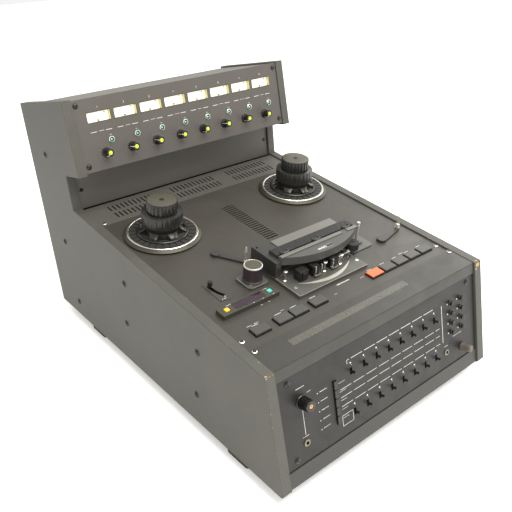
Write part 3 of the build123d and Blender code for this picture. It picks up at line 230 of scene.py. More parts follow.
def wear_on_chamfers(tree, shader, tone, bare_colour, share):
    """Along the cut corners the finish is rubbed lighter and here and there gone."""
    normal = add(tree, "ShaderNodeNewGeometry", {}).outputs["True Normal"]
    sideways = add(tree, "ShaderNodeMath", {"operation": "ABSOLUTE"},
                   {0: add(tree, "ShaderNodeSeparateXYZ", {}, {0: normal}).outputs["X"]})
    corner = add(tree, "ShaderNodeMath", {"operation": "COMPARE", 1: 0.6, 2: 0.3}, {0: sideways.outputs[0]})
    metres = next(n for n in tree.nodes if n.type == "TEX_COORD").outputs["Object"]
    flakes = add(tree, "ShaderNodeTexNoise", {"Scale": 70.0, "Detail": 5.0, "Roughness": 0.7},
                 {"Vector": metres})
    gone = add(tree, "ShaderNodeMapRange", {"From Min": 1 - share, "From Max": 1.03 - share},
               {"Value": flakes.outputs["Fac"]})
    where = add(tree, "ShaderNodeMath", {"operation": "MULTIPLY"},
                {0: corner.outputs[0], 1: gone.outputs["Result"]})
    bare = add(tree, "ShaderNodeMix", {"data_type": "RGBA", 7: linear(bare_colour)},
               {0: where.outputs[0], 6: tone.outputs[2]})
    tree.links.new(bare.outputs[2], shader.inputs["Base Color"])


# Textured lacquer on board: nearly black with an olive-brown cast, matt, with grit that catches grazing
# light.
board_lacquer, tree, shader, metres, tone = grained(
    "textured_lacquer_on_fibreboard", "#3d3c36", "#54534b", 0.55, 1.1, 0.45)
wear_on_chamfers(tree, shader, tone, "#a98e66", 0.36)
for side in ("left", "right"):
    dress(f"side_panel_{side}", board_lacquer)

# Bare fibreboard where a corner has been knocked: tan, dry and fibrous, in ragged patches of a few
# millimetres.
bare_board, tree, shader, fibre = mottled("bare_broken_fibreboard", "#8d6f49", "#c9ab7c", 1400.0, 4.0, 0.9)
ragged = add(tree, "ShaderNodeBump", {"Strength": 0.6, "Distance": 0.0004}, {"Height": fibre.outputs["Fac"]})
tree.links.new(ragged.outputs["Normal"], shader.inputs["Normal"])


def flake(built, at, across, up, out, size, seed):
    """A ragged patch that lies just proud of a face."""
    shuffle = random.Random(seed)
    middle = Vector(at) + Vector(out) * 0.12
    rim = []
    for n in range(11):
        turn = n / 11 * math.tau
        reach = shuffle.uniform(0.55, 1.0)
        rim.append(middle + Vector(across) * (size[0] / 2 * reach * math.cos(turn))
                   + Vector(up) * (size[1] / 2 * reach * math.sin(turn)))
    crown = built.verts.new(middle + Vector(out) * 0.25)
    rim = [built.verts.new(point) for point in rim]
    for n in range(11):
        built.faces.new((rim[n], rim[(n + 1) % 11], crown))


OUTER_X = 260.0
INNER_X = 242.0
OUT = FRONT.to_3x3() @ Vector((0, 0, 1000))
UP = FRONT.to_3x3() @ Vector((0, 1000, 0))
DECK_OUT = DECK.to_3x3() @ Vector((0, 0, 1000))
DECK_UP = DECK.to_3x3() @ Vector((0, 1000, 0))


def on_face(place, x, y, z=0.0):
    """A point of a face, in the row's millimetres."""
    return place @ Vector((x, y, z)) * 1000


def chips(built):
    top = 207.6
    knocks = [((INNER_X + 8, top - 6.0, 0), (13, 11)), ((INNER_X + 3.5, top - 13.0, 0), (5, 7)),
              ((-OUTER_X + 3.0, top - 1.6, 0), (4.5, 2.4)), ((-OUTER_X + 9.0, top - 1.2, 0), (4, 1.2)),
              ((-OUTER_X + 15.0, top - 0.9, 0), (5, 0.9)), ((INNER_X + 13.0, 118.0, 0), (1.2, 5)),
              ((-OUTER_X + 0.9, 150.0, 0), (0.9, 4)), ((-OUTER_X + 0.9, 128.0, 0), (0.8, 6)),
              ((-OUTER_X + 0.9, 176.0, 0), (0.8, 3)), ((-OUTER_X + 0.9, 84.0, 0), (0.7, 3))]
    for n, (at, size) in enumerate(knocks):
        flake(built, on_face(FRONT, *at), (1, 0, 0), UP, OUT, size, n)
    for n, (x, v, size) in enumerate(((INNER_X + 8, 3.0, (8, 5)), (-OUTER_X + 4, 2.0, (6, 3.4)),
                                      (-INNER_X - 3, 30.0, (1.0, 7)), (INNER_X + 1.0, 64.0, (1.0, 9)),
                                      (-INNER_X - 1.0, 214.0, (1.0, 5)))):
        flake(built, on_face(DECK, x, v), (1, 0, 0), DECK_UP, DECK_OUT, size, 40 + n)


piece("board_chips", chips, MM, bare_board, "cabinet")

# ---- Steelwork and panels ----
# The folded chassis, bridge cover, vent strip and rear panel are powder-coated sheet steel. The deck, lip,
# meter and front panels are 3 mm aluminium, bead-blasted and anodised black; the meter panel's copy is toned
# paler, as painted light, and the front panel's darker, as painted shade. The coat is dark on the sill;
# higher up it is painted paler, a painted sheen standing for the grazing reflection on the bridge cover's
# top.
coat, tree, shader, metres, tone = grained("fine_texture_powder_coat_on_steel", "#2f2e2b", "#3b3a36", 0.5,
                                           0.7, 0.3)
# Painted sheen: from 0.24 m up the coat is mixed towards pale grey, up to 0.55 above 0.32 m, standing for the
# grazing reflection on the top of the bridge cover.
height = add(tree, "ShaderNodeSeparateXYZ", {}, {0: metres})
painted_sheen_by_height = add(tree, "ShaderNodeMapRange", {"From Min": 0.24, "From Max": 0.32, "To Max": 0.55},
            {"Value": height.outputs["Z"]})
coat_with_painted_sheen = add(tree, "ShaderNodeMix", {"data_type": "RGBA", 7: linear("#7b776e")},
             {0: painted_sheen_by_height.outputs["Result"], 6: tone.outputs[2]})
tree.links.new(coat_with_painted_sheen.outputs[2], shader.inputs["Base Color"])
for node in ("chassis", "rear_panel", "bridge_cover", "vent_panel"):
    dress(node, coat)


def anodised(material_name, dark, light, roughness):
    """Bead-blasted, dyed and sealed aluminium: a dense tone, a low satin sheen and faint handling marks."""
    material, tree, shader, metres, tone = grained(material_name, dark, light, roughness, 0.5, 0.12,
                                                   metallic=0.15)
    hands = add(tree, "ShaderNodeTexNoise",
                {"Scale": 14.0, "Detail": 8.0, "Roughness": 0.65, "Distortion": 1.2}, {"Vector": metres})
    shine = add(tree, "ShaderNodeMapRange", {"From Min": 0.35, "From Max": 0.7, "To Min": roughness - 0.08,
                                             "To Max": roughness + 0.08}, {"Value": hands.outputs["Fac"]})
    tree.links.new(shine.outputs["Result"], shader.inputs["Roughness"])
    return material, tree, shader, metres, tone


# One black anodising in three copies: the deck's, a paler one for the meter panel that is painted light, and
# a darker one for the front panel that is painted shade.
black_anodised, *_ = anodised("black_anodised_aluminium", "#3a3833", "#46433c", 0.44)
meter_panel_anodised_painted_light, *_ = anodised("anodised_meter_panel_painted_paler", "#504d48", "#5c5852", 0.44)
front_anodised_painted_shade, *_ = anodised("anodised_rack_panel_painted_darker", "#1c1b1a", "#252321", 0.5)
for node, panel_finish in (("deck_plate", black_anodised), ("meter_panel", meter_panel_anodised_painted_light),
                           ("front_panel", front_anodised_painted_shade)):
    dress(node, panel_finish)

# The lip's anodising, with the paler band where hands have rested and rubbed along it, speckled with dust.
lip_anodised, tree, shader, metres, tone = anodised("anodised_lip_rubbed_by_hands", "#33322d", "#3e3d37",
                                                    0.46)
place = add(tree, "ShaderNodeSeparateXYZ", {}, {0: metres})
along = add(tree, "ShaderNodeMath", {"operation": "COMPARE", 1: -0.045, 2: 0.134}, {0: place.outputs["X"]})
across = add(tree, "ShaderNodeMath", {"operation": "COMPARE", 1: -0.3164, 2: 0.0068}, {0: place.outputs["Y"]})
level = add(tree, "ShaderNodeMath", {"operation": "GREATER_THAN", 1: 0.20}, {0: place.outputs["Z"]})
rub = add(tree, "ShaderNodeMath", {"operation": "MULTIPLY"}, {0: along.outputs[0], 1: across.outputs[0]})
rub = add(tree, "ShaderNodeMath", {"operation": "MULTIPLY"}, {0: rub.outputs[0], 1: level.outputs[0]})
speckle = add(tree, "ShaderNodeTexNoise", {"Scale": 520.0, "Detail": 3.0, "Roughness": 0.7},
              {"Vector": metres})
dusty = add(tree, "ShaderNodeMapRange", {"From Min": 0.3, "From Max": 0.75, "To Max": 0.75},
            {"Value": speckle.outputs["Fac"]})
rub = add(tree, "ShaderNodeMath", {"operation": "MULTIPLY"}, {0: rub.outputs[0], 1: dusty.outputs["Result"]})
paler = add(tree, "ShaderNodeMix", {"data_type": "RGBA", 7: linear("#78756a")},
            {0: rub.outputs[0], 6: tone.outputs[2]})
tree.links.new(paler.outputs[2], shader.inputs["Base Color"])
dress("front_lip", lip_anodised)

# ---- Feet ----
# Four moulded rubber blocks, tapered towards the bench and screwed up into the board and the chassis.
black_rubber, *_ = grained("moulded_black_rubber", "#141413", "#1f1e1c", 0.78, 1.4, 0.4)
dress("feet", black_rubber)

# ---- Meters ----
# Eight small edgewise-mounted moving-coil meters: a yellowed clear acrylic case, a cream card printed with a
# faded scale and a red arc, a small peak lamp in the upper right corner and a hair-thin pale pointer.
METER_PITCH = 55.4
METER_X = [METER_PITCH * (n - 3.5) for n in range(8)]
KNOB_U = 34.0
BRIDGE = face("level_knob_1_turn", METER_X[0], KNOB_U)
METER_U = 101.0
BRIDGE_FACE = -2.5
CARD = (45.2, 17.4)
CARD_LEVEL = -8.0
PRINT_LEVEL = CARD_LEVEL + 0.2
PIVOT_U = METER_U - 6.7
ARC = (14.2, 9.6)


def bar(built, x, y, z, width, depth, height):
    """A rectangular block on (x, y), standing on z."""
    prism(built, [(x - width / 2, y - depth / 2), (x + width / 2, y - depth / 2),
                  (x + width / 2, y + depth / 2),
                  (x - width / 2, y + depth / 2)], z, z + height)


def mark(built, x, y, width, height, level, turn=0.0):
    """A printed rectangle, level with the top of its ink."""
    turn = math.radians(turn)
    corners = ((-width, -height), (width, -height), (width, height), (-width, height))
    built.faces.new([built.verts.new((x + (a * math.cos(turn) - b * math.sin(turn)) / 2,
                                      y + (a * math.sin(turn) + b * math.cos(turn)) / 2, level))
                     for a, b in corners])


def dot(built, x, y, radius, level):
    """A printed or moulded round spot."""
    built.faces.new([built.verts.new((x + radius * math.cos(n * math.tau / 18),
                                      y + radius * math.sin(n * math.tau / 18),
                                      level)) for n in range(18)])


def small_print(built, x, y, length, height, level, seed):
    """A legend too small to read: a run of short strokes of uneven width."""
    shuffle = random.Random(seed)
    at = x - length / 2
    while at < x + length / 2:
        stroke = shuffle.uniform(0.35, 0.9)
        mark(built, at + stroke / 2, y, stroke, height * shuffle.uniform(0.6, 1.0), level)
        at += stroke + shuffle.uniform(0.25, 0.5)


# Cream card, a little browned in clouds, with the meter lamp glowing through it.
meter_card, *_ = mottled("printed_cream_card_lit_from_behind", "#fffaf0", "#f7efd8", 90.0, 4.0, 0.7,
                         glow=0.55)

# Clear acrylic gone yellow with age and lamp heat: glossy, glowing a little where the lamp is behind it.
acrylic, *_ = mottled("yellowed_clear_acrylic", "#d8d38c", "#b9b26a", 130.0, 3.0, 0.18, glow=0.12, ior=1.49)

# The front frame of each case is masked with grey paint on its inside, so it reads dull beside the lit card.
masked, *_ = mottled("acrylic_masked_with_grey_paint", "#4d4a3c", "#625e4b", 160.0, 3.0, 0.22, ior=1.49)
dress("meters", masked)


def ink(material_name, colour, roughness):
    """Screen-printed ink: a thin opaque film, slightly uneven and rubbed at the edges of its strokes."""
    material, tree, shader, metres = surface(material_name)
    mesh_marks = add(tree, "ShaderNodeTexNoise", {"Scale": 900.0, "Detail": 3.0}, {"Vector": metres})
    thin = add(tree, "ShaderNodeMapRange", {"To Min": 0.72, "To Max": 1.0},
               {"Value": mesh_marks.outputs["Fac"]})
    film = add(tree, "ShaderNodeMix", {"data_type": "RGBA", 6: linear("#3a3935"), 7: linear(colour)},
               {0: thin.outputs["Result"]})
    tree.links.new(film.outputs[2], shader.inputs["Base Color"])
    shader.inputs["Roughness"].default_value = roughness
    return material


# The black ink also serves as painted shade: round the toggle slots, in the bright screws' cross recesses and
# as the lever escutcheon's shadow.
black_ink_and_painted_shade = ink("black_printing_ink_and_painted_shade", "#171614", 0.6)
faded_ink = ink("faded_scale_printing_ink", "#cfc8b2", 0.6)
red_ink = ink("red_printing_ink", "#e2502a", 0.6)
white_ink = ink("white_screen_printing_ink", "#e9e7df", 0.55)


def meter_cards(built):
    for x in METER_X:
        bar(built, x, METER_U, CARD_LEVEL, *CARD, 0.15)


def arc_mark(built, x, degrees, out, width, height, level, turned_by=90):
    """A stroke on a meter's arc, at its own bearing from the pivot."""
    angle = math.radians(degrees)
    mark(built, x + (ARC[0] + out) * math.cos(angle), PIVOT_U + (ARC[1] + out) * math.sin(angle), width,
         height, level, degrees + turned_by)


def meter_scales(built):
    for x in METER_X:
        for n in range(26):
            arc_mark(built, x, 138 - n * 3.2, 0.0, 0.95, 0.22, PRINT_LEVEL)
        for n in range(11):
            arc_mark(built, x, 140 - n * 10, 1.0, 0.2, 1.2, PRINT_LEVEL, turned_by=-90)
        small_print(built, x - 12, METER_U - 5.6, 9, 0.9, PRINT_LEVEL, int(x) + 900)


def meter_peak_eyes(built):
    """The small peak lamp at the card's upper right, unlit."""
    for x in METER_X:
        dot(built, x + 15.0, METER_U + 6.2, 1.2, PRINT_LEVEL + 0.02)


def meter_red_arcs(built):
    for x in METER_X:
        for n in range(9):
            arc_mark(built, x, 66 - n * 3.2, 0.0, 1.0, 0.8, PRINT_LEVEL + 0.02)


def meter_side_walls(built):
    for x in METER_X:
        bar(built, x + CARD[0] / 2 - 0.4, METER_U, CARD_LEVEL, 0.8, CARD[1], 7.6)


def meter_pointers(built):
    """Each pointer leans to the left, where it rests with no signal."""
    lean = math.radians(52)
    for x in METER_X:
        for n in range(10):
            reach = 1.6 * n + 0.8
            bar(built, x - reach * math.sin(lean), PIVOT_U + reach * math.cos(lean) * 0.62 + 0.3,
                PRINT_LEVEL + 0.1, 1.7, 0.25, 0.25)


for name, code, finish in (("cards", meter_cards, meter_card), ("side_walls", meter_side_walls, acrylic),
                           ("pointers", meter_pointers, faded_ink), ("scales", meter_scales, faded_ink),
                           ("peak_eyes", meter_peak_eyes, black_ink_and_painted_shade), ("red_arcs", meter_red_arcs, red_ink)):
    piece(f"meter_{name}", code, BRIDGE, finish, "cabinet")

# ---- Legends of the meter panel ----
# Channel numbers, twin rules with a small legend between them, and the dial marks round the level knobs, all
# screen-printed in white on the anodised panel.
PROUD = 0.05
RULE_U = 74.6
RULE_LENGTH = 12.5
DIAL_R = 13.0
SEGMENTS = {1: "bc", 2: "abged", 3: "abgcd", 4: "fgbc", 5: "afgcd", 6: "afgcde", 7: "abc", 8: "abcdefg"}


def numeral(built, value, x, y, height, level):
    """A plain numeral drawn with straight strokes."""
    h = height / 2
    w = height * 0.42
    strokes = {"a": (0, h, w, 0.5), "g": (0, 0, w, 0.5), "d": (0, -h, w, 0.5), "f": (-w / 2, h / 2, 0.5, h),
               "b": (w / 2, h / 2, 0.5, h), "e": (-w / 2, -h / 2, 0.5, h), "c": (w / 2, -h / 2, 0.5, h)}
    for letter in SEGMENTS[value]:
        dx, dy, wide, tall = strokes[letter]
        mark(built, x + dx, y + dy, wide, tall, level)


def bridge_legends(built):
    level = BRIDGE_FACE + PROUD
    for n, x in enumerate(METER_X):
        numeral(built, n + 1, x, 118.3, 3.4, level)
        mark(built, x - 16.0, RULE_U, RULE_LENGTH, 0.9, level)
        mark(built, x + 15.0, RULE_U, RULE_LENGTH, 0.9, level)
        small_print(built, x, RULE_U + 0.4, 10.0, 1.1, level, n)
        small_print(built, x + 16.0, 64.6, 3.6, 1.1, level, n + 20)


def dial_marks(built):
    for x in METER_X:
        for n in range(11):
            angle = math.radians(240 - n * 30)
            mark(built, x + DIAL_R * math.cos(angle), KNOB_U + DIAL_R * math.sin(angle), 0.45, 2.6,
                 BRIDGE_FACE + PROUD, math.degrees(angle) - 90)


worn_ink = ink("thin_grey_dial_ink", "#9b998f", 0.6)
piece("bridge_legends", bridge_legends, BRIDGE, white_ink, "cabinet")
piece("dial_marks", dial_marks, BRIDGE, worn_ink, "cabinet")

# ---- Record lamps ----
# Eight panel lamps: a turned and chromium-plated bezel pressed into the panel, a black cup inside it and a
# domed green polycarbonate lens.
LAMP_X = [x + 16.0 for x in METER_X]
LAMP_U = 55.5
LAMP_R = 6.2


def turn(built, outline, at=(0.0, 0.0, 0.0), steps=40):
    """An outline of (radius, height) points turned about the upright through a place."""
    rings = []
    for radius, height in outline:
        if radius < 1e-6:
            rings.append([built.verts.new((at[0], at[1], at[2] + height))])
        else:
            rings.append([built.verts.new((at[0] + radius * math.cos(n * math.tau / steps),
                                           at[1] + radius * math.sin(n * math.tau / steps), at[2] + height))
                          for n in range(steps)])
    for lower, upper in zip(rings, rings[1:]):
        for n in range(steps):
            m = (n + 1) % steps
            corners = [lower[n % len(lower)], lower[m % len(lower)], upper[m % len(upper)],
                       upper[n % len(upper)]]
            corners = list(dict.fromkeys(corners))
            if len(corners) > 2:
                built.faces.new(corners)


# Chromium plate: mirror bright and slightly blue, with fine polishing haze.
def bright_metal(name, colour, scale, clear, hazy):
    """Bare or plated metal of one colour, whose polish is hazed in fine patches."""
    material, tree, shader, metres = surface(name)
    haze = add(tree, "ShaderNodeTexNoise", {"Scale": scale, "Detail": 4.0}, {"Vector": metres})
    mist = add(tree, "ShaderNodeMapRange", {"To Min": clear, "To Max": hazy}, {"Value": haze.outputs["Fac"]})
    tree.links.new(mist.outputs["Result"], shader.inputs["Roughness"])
    shader.inputs["Base Color"].default_value = linear(colour)
    shader.inputs["Metallic"].default_value = 1.0
    return material


chrome = bright_metal("bright_chromium_plate", "#d9dbdc", 500.0, 0.08, 0.22)


def plastic(material_name, dark, light, roughness, grain_mm=0.6, relief=0.15):
    """Injection-moulded thermoplastic: even colour with slight flow marks, and the mould's fine texture."""
    return grained(material_name, dark, light, roughness, grain_mm, relief, ior=1.53)[0]


black_moulding = plastic("moulded_black_abs", "#161615", "#20201e", 0.42)
lens_green, tree, shader, metres = surface("moulded_green_polycarbonate")
glow = add(tree, "ShaderNodeTexVoronoi", {"Scale": 900.0}, {"Vector": metres})
green = add(tree, "ShaderNodeMix", {"data_type": "RGBA", 6: linear("#2fa84e"), 7: linear("#9ff0a6")},
            {0: glow.outputs["Distance"]})
tree.links.new(green.outputs[2], shader.inputs["Base Color"])
tree.links.new(green.outputs[2], shader.inputs["Emission Color"])
shader.inputs["Emission Strength"].default_value = 0.3
shader.inputs["Roughness"].default_value = 0.12


def lamp_bezels(built):
    for x in LAMP_X:
        turn(built, [(4.0, -1.0), (4.0, 0.9), (4.5, 1.8), (5.4, 2.0), (LAMP_R, 1.2), (LAMP_R, 0.0),
                     (LAMP_R - 1.2, 0.0),
                     (LAMP_R - 1.2, -12.0), (0.0, -12.0)], (x, LAMP_U, BRIDGE_FACE))


def lamp_cups(built):
    for x in LAMP_X:
        turn(built, [(4.0, 0.8), (3.0, -0.6), (0.0, -0.6)], (x, LAMP_U, BRIDGE_FACE))


def lamp_lenses(built):
    for x in LAMP_X:
        turn(built, [(2.0, -0.6), (2.0, 0.2), (1.5, 0.9), (0.8, 1.2), (0.0, 1.3)], (x, LAMP_U, BRIDGE_FACE),
             24)


bezels = piece("lamp_bezels", lamp_bezels, BRIDGE, chrome, "cabinet")
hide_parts("record_lamps")
piece("lamp_cups", lamp_cups, BRIDGE, black_moulding, "cabinet")
piece("lamp_lenses", lamp_lenses, BRIDGE, lens_green, "cabinet")

# ---- Level knobs ----
# Eight push-on collet knobs: a glossy black moulding with a skirt and fine grip ribs, a white pointer line
# inlaid along one side and a yellow-green cap snapped into the end.
KNOB_LINES = (228.0, 172.0, 165.0, 168.0, 226.0, 170.0, 212.0, 236.0)
cap_lime = plastic("moulded_lime_cap", "#b9cc22", "#d3e33a", 0.35)
gloss_black = plastic("polished_black_phenolic", "#0f0f0e", "#191817", 0.24)


def ribbed(built, radius, depth, count, low, high, at, taper=0.0, crown=0.6):
    """A grip: a round wall drawn in and out by even flutes, with an eased rim."""
    steps = count * 8
    rings = []
    for height, shrink in ((low, 0.0), (high - crown, taper), (high - crown * 0.3, taper + crown * 0.35),
                           (high, taper + crown)):
        ring = []
        for n in range(steps):
            angle = n / steps * math.tau
            wave = max(0.0, math.cos(count * angle)) ** 0.7
            reach = radius - shrink - depth * wave
            ring.append(built.verts.new((at[0] + reach * math.cos(angle), at[1] + reach * math.sin(angle),
                                         at[2] + height)))
        rings.append(ring)
    for lower, upper in zip(rings, rings[1:]):
        for n in range(steps):
            m = (n + 1) % steps
            built.faces.new((lower[n], lower[m], upper[m], upper[n]))
    built.faces.new(rings[-1])
    built.faces.new(rings[0][::-1])


def level_knob_body(built, x):
    at = (x, KNOB_U, BRIDGE_FACE)
    turn(built, [(0.0, -12.0), (3.0, -12.0), (3.0, 0.6), (9.0, 0.6), (9.0, 2.4), (8.3, 3.4), (7.4, 4.2),
                 (0.0, 4.2)], at)
    ribbed(built, 7.7, 0.28, 24, 4.0, 17.5, at, 0.3, 0.8)


def level_knob_line(built, x, angle):
    turned = math.radians(angle)
    for reach, low, high in ((7.55, 3.2, 17.0), (6.0, 17.4, 17.6)):
        width = 0.5 if high - low > 1 else 3.0
        across = Vector((-math.sin(turned), math.cos(turned), 0)) * 0.45
        along = Vector((math.cos(turned), math.sin(turned), 0))
        outline = [along * (reach - width / 2) - across, along * (reach + width / 2) - across,
                   along * (reach + width / 2) + across, along * (reach - width / 2) + across]
        prism(built, [(x + point.x, KNOB_U + point.y) for point in outline], BRIDGE_FACE + low,
              BRIDGE_FACE + high)


def level_knob_cap(built, x):
    turn(built, [(0.0, 17.0), (3.9, 17.0), (3.9, 17.6), (3.4, 17.8), (0.0, 17.9)], (x, KNOB_U, BRIDGE_FACE),
         28)


for n, x in enumerate(METER_X):
    body = f"level_knob_{n + 1}"
    knob = piece(f"{body}_grip", level_knob_body, BRIDGE, gloss_black, body, given=(x,))
    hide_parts(body)
    piece(f"{body}_line", level_knob_line, BRIDGE, white_ink, body, given=(x, KNOB_LINES[n]))
    piece(f"{body}_cap", level_knob_cap, BRIDGE, cap_lime, body, given=(x,))

# ---- Front panel: legends ----
# Rules that follow the signal from the selector keys through the two rows of switches, with a white spot for
# every switch and trimmer, screen-printed on the anodised panel.
FRONT_FACE = -5.0
TOGGLE_X = [-89.8 + 30.3 * n for n in range(8)]
TOGGLE_U = {"upper": 138.5, "lower": 65.0}
LEAD_U = 160.4
SIGNAL_U = (117.0, 103.0, 87.0)
TRIM_AT = [(x, 97.5 + 19 * n) for x in (170.0, 199.0) for n in range(4)]


def front_legends(built):
    level = FRONT_FACE + PROUD
    for x in TOGGLE_X:
        for u in TOGGLE_U.values():
            dot(built, x, u + 14.4, 1.5, level)
            dot(built, x + 2.2, u + 10.4, 0.5, level)
    for n, x in enumerate(TOGGLE_X):
        start = -97.0 if n == 0 else x - 28.0
        mark(built, (start + x - 2.2) / 2, LEAD_U, x - 2.2 - start, 0.9, level)
        for u in SIGNAL_U:
            mark(built, x - 15.2, u, 25.0, 0.8, level)
            mark(built, x + 8.2, u, 11.0 if n == 7 else 0.8, 0.8, level)
    mark(built, -97.0, 157.2, 0.8, 7.0, level)
    mark(built, 144.5, 121.3, 1.1, 72.6, level)
    mark(built, -197.0, 100.8, 0.8, 42.5, level)
    for u in (70.5, 52.0):
        mark(built, -107.0, u, 24.0, 0.7, level)
    for x in (-119.0, -95.0):
        mark(built, x, 61.2, 0.7, 18.8, level)
    for n in range(5):
        u = 134.5 - 16 * n
        dot(built, -164.5, u, 0.9, level)
        small_print(built, -152.5, u + 0.4, 15.0, 1.4, level, 60 + n)
        small_print(built, -113.0 + 0.6 * n, u - 4.6, 13.0, 1.0, level, 70 + n)
    for n, (x, u, length, height) in enumerate(((MONITOR[0], 160.5, 16.0, 1.6), (-181.0, 147.0, 8.0, 1.2),
                                                (MONITOR[0], 76.6, 12.0, 1.2), (152.3, 75.4, 10.0, 1.2),
                                                (187.0, 86.0, 26.0, 1.3))):
        small_print(built, x, u, length, height, level, 81 + n)
    for x, u in TRIM_AT:
        dot(built, x - 8.6, u, 1.3, level)


piece("front_legends", front_legends, FRONT, white_ink, "cabinet")

# ---- Switches ----
# Sixteen miniature toggle switches in two rows: a black moulded bat lever on a pivot behind the panel,
# standing in a dark slot. Each row is one body.
lever_black = plastic("moulded_black_nylon", "#0e0e0d", "#191917", 0.38)


def toggle_levers(built, u):
    for x in TOGGLE_X:
        turn(built, [(0.0, -3.0), (2.2, -2.0), (2.2, 3.0), (1.6, 5.0), (1.9, 9.0), (2.5, 14.0), (2.5, 16.2),
                     (1.8, 17.0),
                     (0.0, 17.0)], (x, u, FRONT_FACE - 6.0), 20)


def rule_gaps(built):
    for x in TOGGLE_X:
        for u in (LEAD_U, *SIGNAL_U):
            mark(built, x, u, 1.6, 3.4, FRONT_FACE + 0.04)


piece("rule_gaps", rule_gaps, FRONT, black_ink_and_painted_shade, "cabinet")


# Painted shade: black marks round each lever, standing for the shade in its slot.
def toggle_slot_shade(built):
    for x in TOGGLE_X:
        for u in TOGGLE_U.values():
            for side in (-1, 1):
                mark(built, x + 3.1 * side, u, 1.4, 14.6, FRONT_FACE + 0.04)
                mark(built, x, u + 6.9 * side, 5.0, 1.4, FRONT_FACE + 0.04)


piece("toggle_slot_shade", toggle_slot_shade, FRONT, black_ink_and_painted_shade, "cabinet")
for row, u in TOGGLE_U.items():
    levers = piece(f"toggle_levers_{row}", toggle_levers, FRONT, lever_black, f"toggles_{row}", given=(u,))
    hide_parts(f"toggles_{row}")


def toggle_wells(built):
    for x in TOGGLE_X:
        for u in TOGGLE_U.values():
            bar(built, x, u, FRONT_FACE - 14.0, 7.0, 15.0, 2.0)
            for dx in (-3.1, 3.1):
                bar(built, x + dx, u, FRONT_FACE - 14.0, 0.8, 15.0, 11.0)


piece("toggle_wells", toggle_wells, FRONT, lever_black, "cabinet")

# ---- Trimmers, keys and knobs of the front panel ----
# Eight screwdriver trimmers in black nylon, five latching keys in one slot, a ribbed phenolic monitor knob
# with a brass collet screw and a smooth grey-brown output knob.


def trimmers(built):
    for x, u in TRIM_AT:
        at = (x, u, FRONT_FACE)
        turn(built, [(0.0, -10.0), (2.6, -10.0), (2.6, 0.0), (4.6, 0.0), (4.6, 1.6), (4.0, 2.4), (3.9, 6.4),
                     (3.4, 7.0),
                     (0.0, 7.0)], at, 24)
        bar(built, x, u, FRONT_FACE + 7.0, 0.9, 5.6, 0.35)


trims = piece("trimmers", trimmers, FRONT, lever_black, "cabinet")
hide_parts("trim_knobs")

KEY_X = -128.0
KEY_U = 69.0
KEY_PITCH = 15.6


def select_keys(built):
    for n in range(5):
        bar(built, KEY_X, KEY_U + KEY_PITCH * n, FRONT_FACE - 11.0, 6.8, 14.4, 14.2)
    bar(built, KEY_X, KEY_U + KEY_PITCH * 2, FRONT_FACE - 15.0, 12.0, 81.0, 4.0)


keys = piece("select_keys", select_keys, FRONT, lever_black, "select_buttons", soften=0.7)
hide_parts("select_buttons")


def monitor_grip(built):
    at = (*MONITOR, FRONT_FACE)
    turn(built, [(0.0, -12.0), (3.0, -12.0), (3.0, 0.6), (11.4, 0.6), (11.4, 1.6), (10.6, 2.6), (0.0, 2.6)],
         at)
    ribbed(built, 10.4, 1.0, 20, 2.4, 21.0, at, 0.9, 1.2)


grip = piece("monitor_grip", monitor_grip, FRONT, gloss_black, "monitor_knob", angle=25)
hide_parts("monitor_knob")

# Bare brass with a copper cast, turned on a lathe and slotted: fine rings and a little tarnish.
brass, *_ = mottled("turned_brass_collet", "#b98a5c", "#d9a878", 420.0, 4.0, 0.35, metallic=1.0)


def monitor_collet(built):
    turn(built, [(0.0, 20.8), (3.2, 20.8), (3.2, 21.1), (2.8, 21.25), (1.3, 21.25), (1.0, 20.9), (0.0, 20.9)],
         (*MONITOR, FRONT_FACE), 24)


piece("monitor_collet", monitor_collet, FRONT, brass, "monitor_knob")
grey_brown = plastic("moulded_grey_brown_abs", "#4c453d", "#625a50", 0.36)


def output_grip(built):
    turn(built, [(0.0, -12.0), (3.0, -12.0), (3.0, 0.6), (8.2, 0.6), (8.2, 2.4), (7.6, 3.4), (6.9, 13.0),
                 (6.3, 19.6),
                 (5.4, 21.0), (4.6, 20.4), (0.0, 20.4)], (200.0, 55.0, FRONT_FACE), 36)


output = piece("output_grip", output_grip, FRONT, grey_brown, "output_knob")
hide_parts("output_knob")

# Nickel-plated brass jack bushes: warm grey metal, worn dull round the rim by plugs.
plated, *_ = mottled("nickel_plated_jack_bush", "#6f6b5c", "#97917c", 380.0, 5.0, 0.32, metallic=0.9)
dress("phone_jacks", plated)

# ---- Deck: transport buttons ----
# Nine snap-on caps moulded in black ABS with a satin dished top; the record cap is orange. The narrow skirt
# round each cap stays glossier and darker than its top.
DECK_FACE = -3.0
BUTTONS = {"edit": -195.0, "spool": -148.5, "cue": -115.5, "memory": -72.3, "record": 67.0, "rewind": 101.0,
           "forward": 135.0, "stop": 169.0, "play": 203.0}
BUTTON_V = 85.8
cap_top = plastic("moulded_dark_grey_abs_cap", "#3b3b37", "#464541", 0.42, 0.5, 0.2)
cap_orange = plastic("moulded_orange_abs_cap", "#e8552a", "#f4713d", 0.38, 0.5, 0.2)


def cap_skirt(built, x):
    bar(built, x, BUTTON_V, -13.0, 30.8, 19.4, 12.6)


def cap_crown(built, x):
    low = [(-14.6, -8.4), (14.6, -8.4), (14.6, 9.2), (-14.6, 9.2)]
    rows = [(1.0, -0.5), (1.0, 0.5), (0.965, 1.15), (0.90, 1.2), (0.5, 1.05)]
    rings = [[built.verts.new((x + a * scale, BUTTON_V + b * scale, height)) for a, b in low]
             for scale, height in rows]
    for lower, upper in zip(rings, rings[1:]):
        for n in range(4):
            built.faces.new((lower[n], lower[(n + 1) % 4], upper[(n + 1) % 4], upper[n]))
    built.faces.new(rings[-1])


